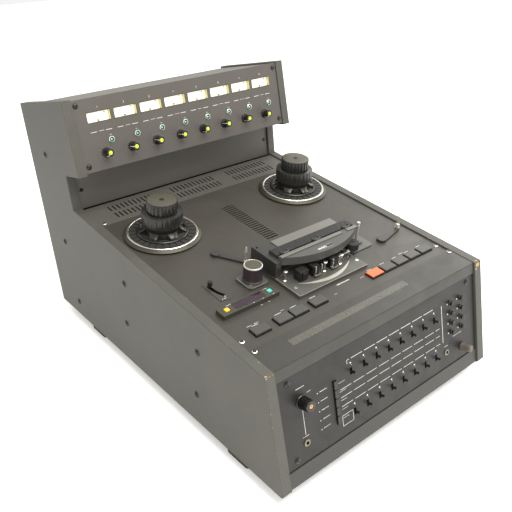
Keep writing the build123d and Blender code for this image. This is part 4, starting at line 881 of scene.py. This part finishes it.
for name, x in BUTTONS.items():
    body = f"{name}_button"
    skirt = piece(f"{body}_skirt", cap_skirt, DECK, gloss_black, body, given=(x,), soften=0.5)
    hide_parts(body)
    top = cap_orange if name == "record" else cap_top
    piece(f"{body}_crown", cap_crown, DECK, top, body, given=(x,), soften=0.4)


def deck_legends(built):
    level = DECK_FACE + PROUD
    for n, x in enumerate(BUTTONS.values()):
        small_print(built, x + 1.0, 100.4, 11.0 if n > 3 else 13.0, 1.6, level, 200 + n)
    for x, length in ((-203.0, 9.0), (-189.0, 8.0), (-135.0, 6.0)):
        small_print(built, x, 103.4, length, 1.2, level, int(x) + 400)
    for n, (x, v, length, height) in enumerate(((2.0, 100.6, 30.0, 2.4), (41.0, 92.0, 10.0, 1.0),
                                                (-33.0, 84.0, 6.0, 0.9), (158.0, 103.2, 12.0, 1.2))):
        small_print(built, x, v, length, height, level, 230 + n)
    for x in (-152.0, -136.0):
        mark(built, x, 133.4, 3.4, 0.7, level)


piece("deck_legends", deck_legends, DECK, white_ink, "cabinet")

# ---- Counter ----
# An olive-black moulded bezel with a tinted acrylic window over a dark display, and two lit keys, one yellow
# and one turquoise, joined by a carrier under the deck.
COUNTER_V = 147.0
COUNTER_TOP = 5.0
KEYS_X = (-212.5, -125.0)
olive = plastic("moulded_olive_black_abs", "#34332a", "#403f34", 0.4)
dress("counter_bezel", olive)
window_red, *_ = mottled("smoked_wine_red_acrylic", "#21161e", "#382732", 70.0, 4.0, 0.12, ior=1.49)


def counter_window(built):
    bar(built, -168.7, COUNTER_V, 4.25, 60.6, 16.6, 0.55)


piece("counter_window", counter_window, DECK, window_red, "cabinet", soften=0.3)


# Translucent moulded keys with a lamp behind each: a saturated, soft-edged glow.
lit_yellow, *_ = mottled("lit_yellow_key", "#e8a51c", "#ffd23c", 260.0, 2.0, 0.3, glow=0.35)
lit_turquoise, *_ = mottled("lit_turquoise_key", "#2f9c8c", "#58c7b4", 260.0, 2.0, 0.3, glow=0.35)


def counter_key(built, x):
    bar(built, x, COUNTER_V, -10.0, 7.4, 7.4, 16.6)


def counter_carrier(built):
    bar(built, sum(KEYS_X) / 2, COUNTER_V, -12.0, KEYS_X[1] - KEYS_X[0] + 7.4, 7.4, 2.0)


reset_key = piece("counter_reset_key", counter_key, DECK, lit_yellow, "counter_buttons", given=(KEYS_X[0],),
                  soften=0.6)
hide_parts("counter_buttons")
piece("counter_memory_key", counter_key, DECK, lit_turquoise, "counter_buttons", given=(KEYS_X[1],),
              soften=0.6)
piece("counter_key_carrier", counter_carrier, DECK, black_moulding, "counter_buttons")


def counter_legends(built):
    level = COUNTER_TOP + PROUD
    small_print(built, -203.0, 155.6, 9.0, 1.4, level, 301)
    small_print(built, -128.0, 155.6, 7.0, 1.2, level, 302)
    for x in (-165.0, -146.0, -124.0):
        mark(built, x, 137.6, 2.6, 0.8, level)


piece("counter_legends", counter_legends, DECK, white_ink, "cabinet")

# ---- Reel tables ----
# A turned aluminium disc anodised dark bronze, with a bright diamond-turned ring inside its rim, a mat of
# moulded rubber segments, and a six-armed collar carrier that stands on a satin plate and holds the fluted
# collar.
REELS = {"left": -163.8, "right": 163.8}
REEL_V = 405.7
FLUTES = 24
LOCK_TOP = 70.5
bronze, *_ = grained("bronze_anodised_aluminium", "#3b392e", "#49463a", 0.42, 0.5, 0.08, metallic=0.55)
collar_black, *_ = grained("black_anodised_collar", "#1d1d1a", "#292926", 0.24, 0.5, 0.1, metallic=0.1)
mat_rubber, *_ = grained("moulded_rubber_mat_segments", "#232320", "#2f2e29", 0.55, 0.9, 0.3)

# Diamond-turned aluminium: near-white bright cut, with rings too fine to see one by one.
bright_cut = bright_metal("diamond_turned_aluminium", "#e8e6df", 700.0, 0.2, 0.34)
satin_plate, *_ = grained("satin_grey_carrier_plate", "#5f5d52", "#716e61", 0.3, 0.6, 0.06, metallic=0.7)


def reel_disc(built, x):
    turn(built, [(0.0, -66.0), (6.0, -66.0), (6.0, -1.6), (68.0, -1.6), (72.0, -1.0), (72.0, 0.4),
                 (67.2, 3.4),
                 (66.2, 4.6), (61.8, 4.6), (61.8, 4.2), (49.0, 4.2), (48.2, 2.2), (0.0, 2.2)],
                 (x, REEL_V, 0), 96)


def reel_ring(built, x):
    turn(built, [(62.0, 4.5), (62.0, 5.4), (62.6, 5.8), (65.2, 5.8), (66.1, 5.0), (66.1, 4.5)],
         (x, REEL_V, 0), 96)


def reel_mat(built, x):
    count = 28
    for n in range(count):
        middle = n / count * math.tau
        half = math.tau / count / 2
        outline = []
        for reach, gap, order in ((49.0, 0.022, (-1, 0, 1)), (60.8, 0.017, (1, 0, -1))):
            for side in order:
                angle = middle + side * (half - gap)
                outline.append((x + reach * math.cos(angle), REEL_V + reach * math.sin(angle)))
        prism(built, outline, 4.0, 5.5)


def reel_plate(built, x):
    turn(built, [(0.0, 3.4), (46.6, 3.4), (47.6, 2.6), (47.6, 2.0)], (x, REEL_V, 0), 72)


def reel_carrier(built, x):
    """The collar's foot: a rim, six flared arms and the round tower under the collar."""
    at = (x, REEL_V, 0)
    turn(built, [(43.0, 3.2), (43.0, 7.2), (44.0, 8.4), (46.6, 8.4), (48.0, 7.0), (48.0, 3.2), (43.0, 3.2)],
         at, 72)
    turn(built, [(31.0, 3.2), (31.0, 9.0), (32.5, 13.0), (33.6, 19.0), (34.4, 25.5), (0.0, 25.5)], at, 72)
    for n in range(6):
        angle = math.radians(30 + 60 * n)
        along = Vector((math.cos(angle), math.sin(angle), 0))
        side = Vector((-math.sin(angle), math.cos(angle), 0))
        rows = []
        for reach, half, height in ((29.0, 10.0, 19.0), (33.0, 9.0, 15.0), (36.5, 7.2, 11.0),
                                    (40.5, 6.8, 8.8),
                                    (45.0, 8.4, 8.0)):
            centre = Vector(at) + along * reach
            rows.append([built.verts.new(centre + side * (half * s) + Vector((0, 0, h)))
                         for s, h in ((-1, 3.0), (-1, height - 1.4), (-0.7, height), (0.7, height),
                                      (1, height - 1.4),
                                      (1, 3.0))])
        for lower, upper in zip(rows, rows[1:]):
            for m in range(6):
                built.faces.new((lower[m], lower[(m + 1) % 6], upper[(m + 1) % 6], upper[m]))
        built.faces.new(rows[0][::-1])
        built.faces.new(rows[-1])


def reel_collar(built, x):
    ribbed(built, 37.9, 1.0, FLUTES, 25.5, 48.5, (x, REEL_V, 0), 0.0, 0.9)


def lock_grip(built, x):
    at = (x, REEL_V, 0)
    ribbed(built, 29.0, 1.5, FLUTES, 50.0, LOCK_TOP, at, 0.5, 0.9)
    turn(built, [(0.0, 29.5), (7.95, 29.5), (7.95, 48.0), (27.0, 48.2), (27.0, 50.5)], at, 60)
    turn(built, [(4.6, 70.5), (4.6, 70.72), (4.0, 70.8), (3.2, 70.5), (3.0, 68.5), (0.0, 68.5)], at, 28)


def lock_top(built, x):
    turn(built, [(4.2, 70.62), (26.4, 70.62), (26.9, 70.5)], (x, REEL_V, 0), 72)


def lock_slot(built, x):
    bar(built, x, REEL_V, LOCK_TOP, 7.6, 3.8, 0.3)
    bar(built, x, REEL_V, LOCK_TOP, 3.8, 6.4, 0.3)


for side, x in REELS.items():
    body = f"reel_table_{side}"
    disc = piece(f"reel_disc_{side}", reel_disc, DECK, bronze, body, given=(x,))
    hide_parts(body)
    for name, code, finish in (("ring", reel_ring, bright_cut), ("mat", reel_mat, mat_rubber),
                               ("plate", reel_plate, satin_plate), ("carrier", reel_carrier, collar_black),
                               ("collar", reel_collar, collar_black)):
        piece(f"reel_{name}_{side}", code, DECK, finish, body, given=(x,), angle=30)
    body = f"hub_lock_{side}"
    lock = piece(f"lock_grip_{side}", lock_grip, DECK, collar_black, body, given=(x,), angle=30)
    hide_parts(body)
    piece(f"lock_top_{side}", lock_top, DECK, satin_plate, body, given=(x,))
    piece(f"lock_slot_{side}", lock_slot, DECK, black_moulding, body, given=(x,))

# ---- Louvres and painted shade behind the slots ----
# The pressed louvres between the reel tables, with their satin rim and painted highlights along their ribs,
# and near-black sheets under the slots of the vent strip, the deck and the rear panel, a painted shade that
# makes the slots black.
# Painted shade: a near-black, faintly streaked sheet.
painted_shade_sheet, tree, shader, metres = surface("painted_shade_black_sheet")
sheet_streaks = add(tree, "ShaderNodeTexWave", {"Scale": 260.0, "Distortion": 0.4}, {"Vector": metres})
sheet_streak_tone = add(tree, "ShaderNodeMix", {"data_type": "RGBA", 6: linear("#050505"), 7: linear("#11110f")},
            {0: sheet_streaks.outputs["Fac"]})
tree.links.new(sheet_streak_tone.outputs[2], shader.inputs["Base Color"])
shader.inputs["Roughness"].default_value = 0.9
LOUVRE_V = (279.0, 426.0)
LOUVRE_R = 17.0


def louvre_rim_and_rib_highlights(built):
    """The pressed rim round the louvres with its rounded end, and painted highlights on the lit edges of the
    ribs.
    """
    straight = LOUVRE_V[1] - LOUVRE_R
    level = DECK_FACE + 0.06
    for side in (-1, 1):
        mark(built, LOUVRE_R * side, (LOUVRE_V[0] + straight) / 2, 0.9, straight - LOUVRE_V[0], level)
    for n in range(12):
        angle = math.radians(15 * n + 7.5)
        mark(built, LOUVRE_R * math.cos(angle), straight + LOUVRE_R * math.sin(angle), 4.7, 0.9, level,
             math.degrees(angle) + 90)
    # Painted highlights: pale satin strips along the edges of the ribs.
    for n in range(20):
        mark(built, 0.0, LOUVRE_V[0] + 7.4 + 7.0 * n, 29.0, 0.8, level)


piece("louvre_rim_and_rib_highlights", louvre_rim_and_rib_highlights, DECK, satin_plate, "cabinet")


# Painted shade: near-black sheets just under the slots of the vent strip and of the louvres.
def deck_shade_sheets(built):
    for v, width, depth in ((530.0, 470.0, 72.0), (352.0, 44.0, 160.0)):
        bar(built, 0.0, v, -9.5, width, depth, 0.6)


# Painted shade: a near-black sheet just behind the rear panel's slots.
def rear_shade_sheet(built):
    bar(built, 0.0, 0.0, 0.0, 380.0, 150.0, 0.6)


piece("deck_shade_sheets", deck_shade_sheets, DECK, painted_shade_sheet, "cabinet")
REAR_LOW, REAR_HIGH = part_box("rear_panel")
rear_lean = math.atan2(REAR_HIGH.y - REAR_LOW.y - 0.002, REAR_HIGH.z - REAR_LOW.z)
rear_middle = REAR_LOW.z + 0.162
rear_place = (Matrix.Translation((0, REAR_LOW.y + math.tan(rear_lean) * (rear_middle - REAR_LOW.z) - 0.012,
                                  rear_middle))
              @ Matrix.Rotation(math.pi / 2 - rear_lean, 4, "X") @ MM)
piece("rear_shade_sheet", rear_shade_sheet, rear_place, painted_shade_sheet, "cabinet")

# ---- Head block ----
# A thick anodised base with bright milled bevels and a bright crescent ledge in front of three heads in
# bright metal shields. Over them stand a black moulded housing, its ribbed hinge cover and the face cover.
BASE_X = (-92.0, 72.0)
BASE_FRONT_V = 108.5
BASE_TOP = 3.0
ROLLER_AT = (-124.0, 192.0)
ROLLER_PLATE = 20.6
ROLLER_TOP = 1.5
POCKET_X = -8.0
POCKET_V = 256.5
POCKET_R = 135.0
base_grey, *_ = anodised("grey_anodised_base", "#4c4b46", "#5a5953", 0.36)
dress("head_base", base_grey)


def base_bevels(built):
    """Milled bevels along the two edges towards the user, and round the corner of the roller's plate."""
    x, v = ROLLER_AT
    for at, length, top, turned_by in ((((BASE_X[0] + BASE_X[1]) / 2, BASE_FRONT_V),
                                        BASE_X[1] - BASE_X[0] - 1, BASE_TOP, 0.0),
                                       ((BASE_X[0], 146.0), 74.0, BASE_TOP, 90.0),
                                       ((x, v - ROLLER_PLATE), 32.0, ROLLER_TOP, 0.0),
                                       ((x - ROLLER_PLATE, v), 32.0, ROLLER_TOP, 90.0)):
        mark(built, *at, length, 0.6, top + 0.03, turned_by)


def crescent(built):
    """The milled ledge along the front of the sunken arc, widest at the middle."""
    outer, inner = [], []
    for n in range(33):
        share = n / 16 - 1
        x = POCKET_X + 66.0 * share
        y = POCKET_V - math.sqrt(POCKET_R ** 2 - (x - POCKET_X) ** 2)
        outer.append(built.verts.new((x, y - 0.1, BASE_TOP + 0.05)))
        inner.append(built.verts.new((x, y + 0.2 - 8.0 * (1 - share * share), BASE_TOP + 0.05)))
    for n in range(32):
        built.faces.new((outer[n], outer[n + 1], inner[n + 1], inner[n]))


satin_steel, *_ = grained("satin_ground_steel", "#aeaba0", "#cecbc0", 0.3, 0.4, 0.08, metallic=0.5)
piece("base_bevels", base_bevels, DECK, satin_steel, "cabinet")
piece("base_crescent", crescent, DECK, satin_steel, "cabinet")

HEADS = ((-52.0, 21.0), (-25.0, 16.0), (17.0, 16.0))
GUIDES = ((-79.0, 160.0), (-3.0, 142.0), (36.5, 142.0))


def head_cases(built):
    for x, width in HEADS:
        bar(built, x, 149.0, -1.0, width - 2.0, 16.0, 19.5)
        bar(built, x, 140.2, 2.0, width * 0.5, 2.0, 14.0)


def head_shields(built):
    for x in (-25.0, 17.0):
        for dx in (-7.2, 7.2):
            bar(built, x + dx, 135.7, 4.6, 2.2, 3.6, 18.4)
            bar(built, x + dx * 0.84, 135.7, 3.2, 3.0, 3.6, 2.2)
        bar(built, x, 135.7, 2.4, 10.4, 3.6, 2.1)


def tape_guides(built):
    for x, v in GUIDES:
        foot = -1.0
        turn(built, [(0.0, foot), (4.2, foot), (4.2, foot + 1.2), (3.4, foot + 2.2), (2.2, foot + 2.6),
                     (1.8, 10.0),
                     (2.2, 16.4), (4.2, 16.8), (4.2, 18.6), (3.6, 19.0), (0.0, 19.0)], (x, v, 0.0), 28)


def head_lead_plate(built):
    """The bent plate that carries the tape off the last head: a tilted open frame."""
    for dx, dv in ((-10.0, -1.5), (10.0, 1.5)):
        bar(built, 52.0 + dx, 146.0 + dv, -1.0, 1.8, 4.0, 16.0)
    bar(built, 52.0, 146.0, 1.0, 21.0, 2.0, 1.6)
    bar(built, 52.0, 146.0, 13.4, 21.0, 4.0, 1.6)
    bar(built, 61.0, 149.5, 12.0, 4.6, 2.6, 3.4)


stack = piece("head_cases", head_cases, DECK, black_moulding, "cabinet", soften=0.6)
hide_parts("head_stack")
for name, code in (("head_shields", head_shields), ("tape_guides", tape_guides),
                   ("head_lead_plate", head_lead_plate)):
    piece(name, code, DECK, bright_cut, "cabinet", soften=0.3)

housing_black, *_ = grained("moulded_satin_black_housing", "#2b2b29", "#353532", 0.42, 0.5, 0.25)
cover_grey, *_ = grained("moulded_dark_grey_head_cover", "#434240", "#504f4b", 0.44, 0.5, 0.25)
strip_grey, *_ = grained("satin_grey_trim_strip", "#6b6963", "#7b7972", 0.36, 0.4, 0.12, metallic=0.35)
dress("head_housing", housing_black)
dress("head_cover", cover_grey)


def hinge_ribs(built):
    """Fine ribs run the length of the hinge cover."""
    for n in range(6):
        bar(built, 13.0, 185.6 + 3.1 * n, 37.6, 184.0, 1.7, 0.8)


def rear_strip(built):
    bar(built, 19.0, 216.9, 32.6, 147.0, 25.0, 0.6)


def cover_strips(built):
    bar(built, -7.0, 173.8, 38.7, 145.0, 7.0, 0.7)
    bar(built, 93.0, 173.8, 38.7, 25.4, 7.0, 0.7)


def cover_label(built):
    mark(built, 11.5, 156.2, 26.0, 7.4, 38.06)


def cover_label_bars(built):
    small_print(built, 1.0, 156.2, 20.0, 4.4, 38.12, 400)
    for v in (152.8, 159.6):
        mark(built, 11.5, v, 26.0, 0.35, 38.1)


piece("hinge_ribs", hinge_ribs, DECK, gloss_black, "cabinet", soften=0.25)
piece("rear_strip", rear_strip, DECK, strip_grey, "cabinet", soften=0.25)
piece("cover_strips", cover_strips, DECK, strip_grey, "head_cover", soften=0.25)
piece("cover_label", cover_label, DECK, gloss_black, "head_cover")
piece("cover_label_bars", cover_label_bars, DECK, white_ink, "head_cover")

# ---- Tape path: roller, capstan, pinch roller, arms and lever ----
# The timer roller is a metal drum with a plum-brown rubber tyre under an olive-grey capped flange. The
# capstan is ground steel, the pinch roller black rubber, and the swinging arms are enamelled black with
# bright guide pins.
tyre, *_ = grained("plum_brown_rubber_tyre", "#2c2125", "#3d2f34", 0.42, 0.8, 0.2)
cap_olive, *_ = grained("olive_grey_anodised_cap", "#4f4d42", "#5f5d50", 0.34, 0.5, 0.08, metallic=0.5)


def roller_tyre(built):
    turn(built, [(0.0, 2.4), (15.4, 2.4), (17.6, 2.6), (17.6, 3.8), (16.6, 4.4), (16.6, 5.0), (16.2, 5.4),
                 (16.2, 28.6),
                 (16.6, 29.2), (16.0, 30.4), (0.0, 30.4)], (*ROLLER_AT, 0.0), 64)


def roller_cap(built):
    turn(built, [(0.0, 31.5), (14.4, 31.5), (14.4, 30.2)], (*ROLLER_AT, 0.0), 64)


def roller_rim(built):
    turn(built, [(14.4, 30.2), (14.4, 31.7), (15.0, 32.0), (15.9, 31.6), (16.5, 30.6), (16.5, 30.2)],
         (*ROLLER_AT, 0.0), 64)


drum = piece("roller_tyre", roller_tyre, DECK, tyre, "timer_roller")
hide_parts("timer_roller")
piece("roller_cap", roller_cap, DECK, cap_olive, "timer_roller")
piece("roller_rim", roller_rim, DECK, satin_steel, "timer_roller")
dress("capstan", satin_steel)
pinch_black, *_ = grained("ground_neoprene_rubber", "#1d1c1b", "#282725", 0.62, 0.7, 0.25)
dress("pinch_roller", pinch_black)
enamel, *_ = grained("black_stoved_enamel", "#2d2c2a", "#393835", 0.4, 0.6, 0.15)
dress("pinch_arm", enamel)
dress("edit_lever", lever_black)


LEFT_ARM = ((-124.6, 293.4), 57.5, -61.3, 7.0, 4.5)
RIGHT_ARM = ((163.0, 154.0), 61.0, 11.3, 8.5, 5.5)


def arm_tip(pivot, reach, bearing, wide, narrow):
    angle = math.radians(bearing)
    return (pivot[0] + reach * math.cos(angle), pivot[1] + reach * math.sin(angle), 0.0)


def arm(built, pivot, reach, bearing, wide, narrow):
    """A flat tapered arm with its round boss and the shaft below it."""
    tip = arm_tip(pivot, reach, bearing, wide, narrow)
    outline = []
    for centre, radius, start in ((tip, narrow, bearing - 90), (pivot, wide, bearing + 90)):
        for n in range(13):
            at = math.radians(start + 15 * n)
            outline.append((centre[0] + radius * math.cos(at), centre[1] + radius * math.sin(at)))
    prism(built, outline, -2.2, 0.6)
    turn(built, [(0.0, -20.0), (4.0, -20.0), (4.0, -2.0), (9.3, -2.0), (9.5, 1.8), (8.9, 2.4), (0.0, 2.4)],
         (*pivot, 0.0), 40)


def left_pin(built):
    turn(built, [(0.0, 0.4), (3.4, 0.4), (3.4, 1.8), (1.7, 2.2), (1.7, 17.0), (2.9, 18.0), (2.9, 22.0),
                 (1.1, 29.4),
                 (0.0, 30.0)], arm_tip(*LEFT_ARM), 24)


def right_guide(built):
    turn(built, [(0.0, 0.4), (4.4, 0.4), (4.4, 1.8), (2.8, 2.4), (2.8, 5.4), (4.4, 6.0), (4.4, 7.6),
                 (3.6, 8.2), (0.0, 8.2)],
         arm_tip(*RIGHT_ARM), 28)


def right_hoop(built):
    """A wire hoop bent from one length of chromed rod stands on the guide."""
    x, v, _ = arm_tip(*RIGHT_ARM)
    path = [(x - 3, 8.0), (x - 3, 35.0)]
    path += [(x - 3 * math.cos(math.radians(20 * n)), 35.0 +
              3 * math.sin(math.radians(20 * n))) for n in range(1, 9)]
    path += [(x + 3, 35.0), (x + 3, 8.0)]
    rings = []
    for n, (px, pz) in enumerate(path):
        before, after = path[max(n - 1, 0)], path[min(n + 1, len(path) - 1)]
        along = Vector((after[0] - before[0], 0, after[1] - before[1])).normalized()
        out = Vector((along.z, 0, -along.x))
        rings.append([built.verts.new(Vector((px, v, pz)) + out * (0.8 * math.cos(k * math.tau / 10))
                                      + Vector((0, 0.8 * math.sin(k * math.tau / 10),
                                                0))) for k in range(10)])
    for lower, upper in zip(rings, rings[1:]):
        for k in range(10):
            built.faces.new((lower[k], lower[(k + 1) % 10], upper[(k + 1) % 10], upper[k]))


for side, sizes in (("left", LEFT_ARM), ("right", RIGHT_ARM)):
    plate = piece(f"arm_plate_{side}", arm, DECK, enamel, f"tension_arm_{side}", given=sizes, angle=30)
    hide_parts(f"tension_arm_{side}")
for name, code, side in (("arm_pin", left_pin, "left"), ("arm_guide", right_guide, "right"),
                         ("arm_hoop", right_hoop, "right")):
    piece(name, code, DECK, satin_steel, f"tension_arm_{side}")


def lever_escutcheon_shadow(built):
    """A painted shadow of the lever's escutcheon: a broad dark stroke with a foot at its front end."""
    mark(built, -200.7, 205.0, 2.6, 55.0, DECK_FACE + 0.04)
    mark(built, -191.4, 175.9, 19.4, 2.2, DECK_FACE + 0.04, -10.7)


def lever_marks(built):
    small_print(built, -191.0, 181.4, 8.0, 1.4, DECK_FACE + 0.06, 500)
    dot(built, -186.0, 186.0, 0.9, DECK_FACE + 0.06)


piece("lever_escutcheon_shadow", lever_escutcheon_shadow, DECK, black_ink_and_painted_shade, "cabinet")
piece("lever_marks", lever_marks, DECK, white_ink, "cabinet")

# ---- Screws ----
# The cabinet's screws are blackened steel in pressed cup washers, and the panels' are black with cup washers
# too. Bright plated cross-head screws hold the control row, the lip and the vent strip, and small ones the
# head base.
black_oxide, *_ = grained("black_oxide_steel_screw", "#2b2a27", "#45443f", 0.28, 0.4, 0.1, metallic=0.7)
dress("screws", black_oxide)
BASE_SCREWS = ((-81.4, 130.0, 3.0), (66.0, 129.0, 3.0), (-138.5, 177.5, 1.5))
SILVER_SCREWS = ((235.0, 81.0, DECK_FACE), (235.0, 51.5, -1.0), (233.0, 499.0, DECK_FACE))


def silver_heads(built):
    for x, v, level in SILVER_SCREWS:
        for side in (-1, 1):
            turn(built, [(4.2, 0.0), (4.2, 0.9), (3.2, 1.6), (1.8, 1.85), (0.0, 1.9)], (side * x, v, level),
                 28)
    for x, v, level in BASE_SCREWS:
        turn(built, [(3.2, 0.0), (3.1, 0.3), (2.4, 0.35), (2.2, 0.1), (0.0, 0.1)], (x, v, level), 24)


# Painted shade: a black cross on each bright screw head, standing for the shade in its cross recess.
def silver_cross_recess_shade(built):
    for x, v, level in SILVER_SCREWS:
        for side in (-1, 1):
            for turned_by in (20.0, 110.0):
                mark(built, side * x, v, 4.4, 0.9, level + 1.95, turned_by)


piece("silver_screw_heads", silver_heads, DECK, bright_cut, "cabinet")
piece("silver_screw_cross_recess_shade", silver_cross_recess_shade, DECK, black_ink_and_painted_shade, "cabinet")

def panel_heads(built, places, level):
    for x, u in places:
        for side in (-1, 1):
            turn(built, [(5.4, 0.0), (5.2, 0.7), (4.3, 0.9), (4.1, 1.6), (2.6, 2.4), (1.5, 2.5), (1.2, 1.7),
                         (0.0, 1.7)],
                 (side * x, u, level), 28)


for name, places, level, place in (("front_screw_heads", ((219.5, 45.5), (219.5, 176.9)), FRONT_FACE, FRONT),
                                   ("bridge_screw_heads", ((234.0, 15.3), (234.0, 126.0)), BRIDGE_FACE,
                                    BRIDGE)):
    piece(name, panel_heads, place, gloss_black, "cabinet", given=(places, level))

# ---- Rear connections and the inside ----
# Nickel-plated audio sockets and a moulded mains inlet behind; inside, zinc-plated motor cans, a laminated
# transformer with its capacitors, and eight green glass-epoxy amplifier cards.
nickel, *_ = grained("satin_nickel_plate", "#8f8b80", "#aaa69a", 0.3, 0.5, 0.08, metallic=0.9)
dress("rear_connectors", nickel)
dress("power_inlet", black_moulding)
zinc, *_ = grained("zinc_plated_steel", "#7d7f80", "#9c9e9e", 0.4, 2.5, 0.1, metallic=0.85)
dress("motors", zinc)
iron, *_ = grained("varnished_silicon_iron", "#3c3833", "#57514a", 0.45, 0.7, 0.35, metallic=0.5)
dress("power_supply", iron)
laminate, *_ = grained("green_glass_epoxy_laminate", "#1f4a2c", "#2c6139", 0.35, 0.8, 0.15)
dress("amplifier_cards", laminate)
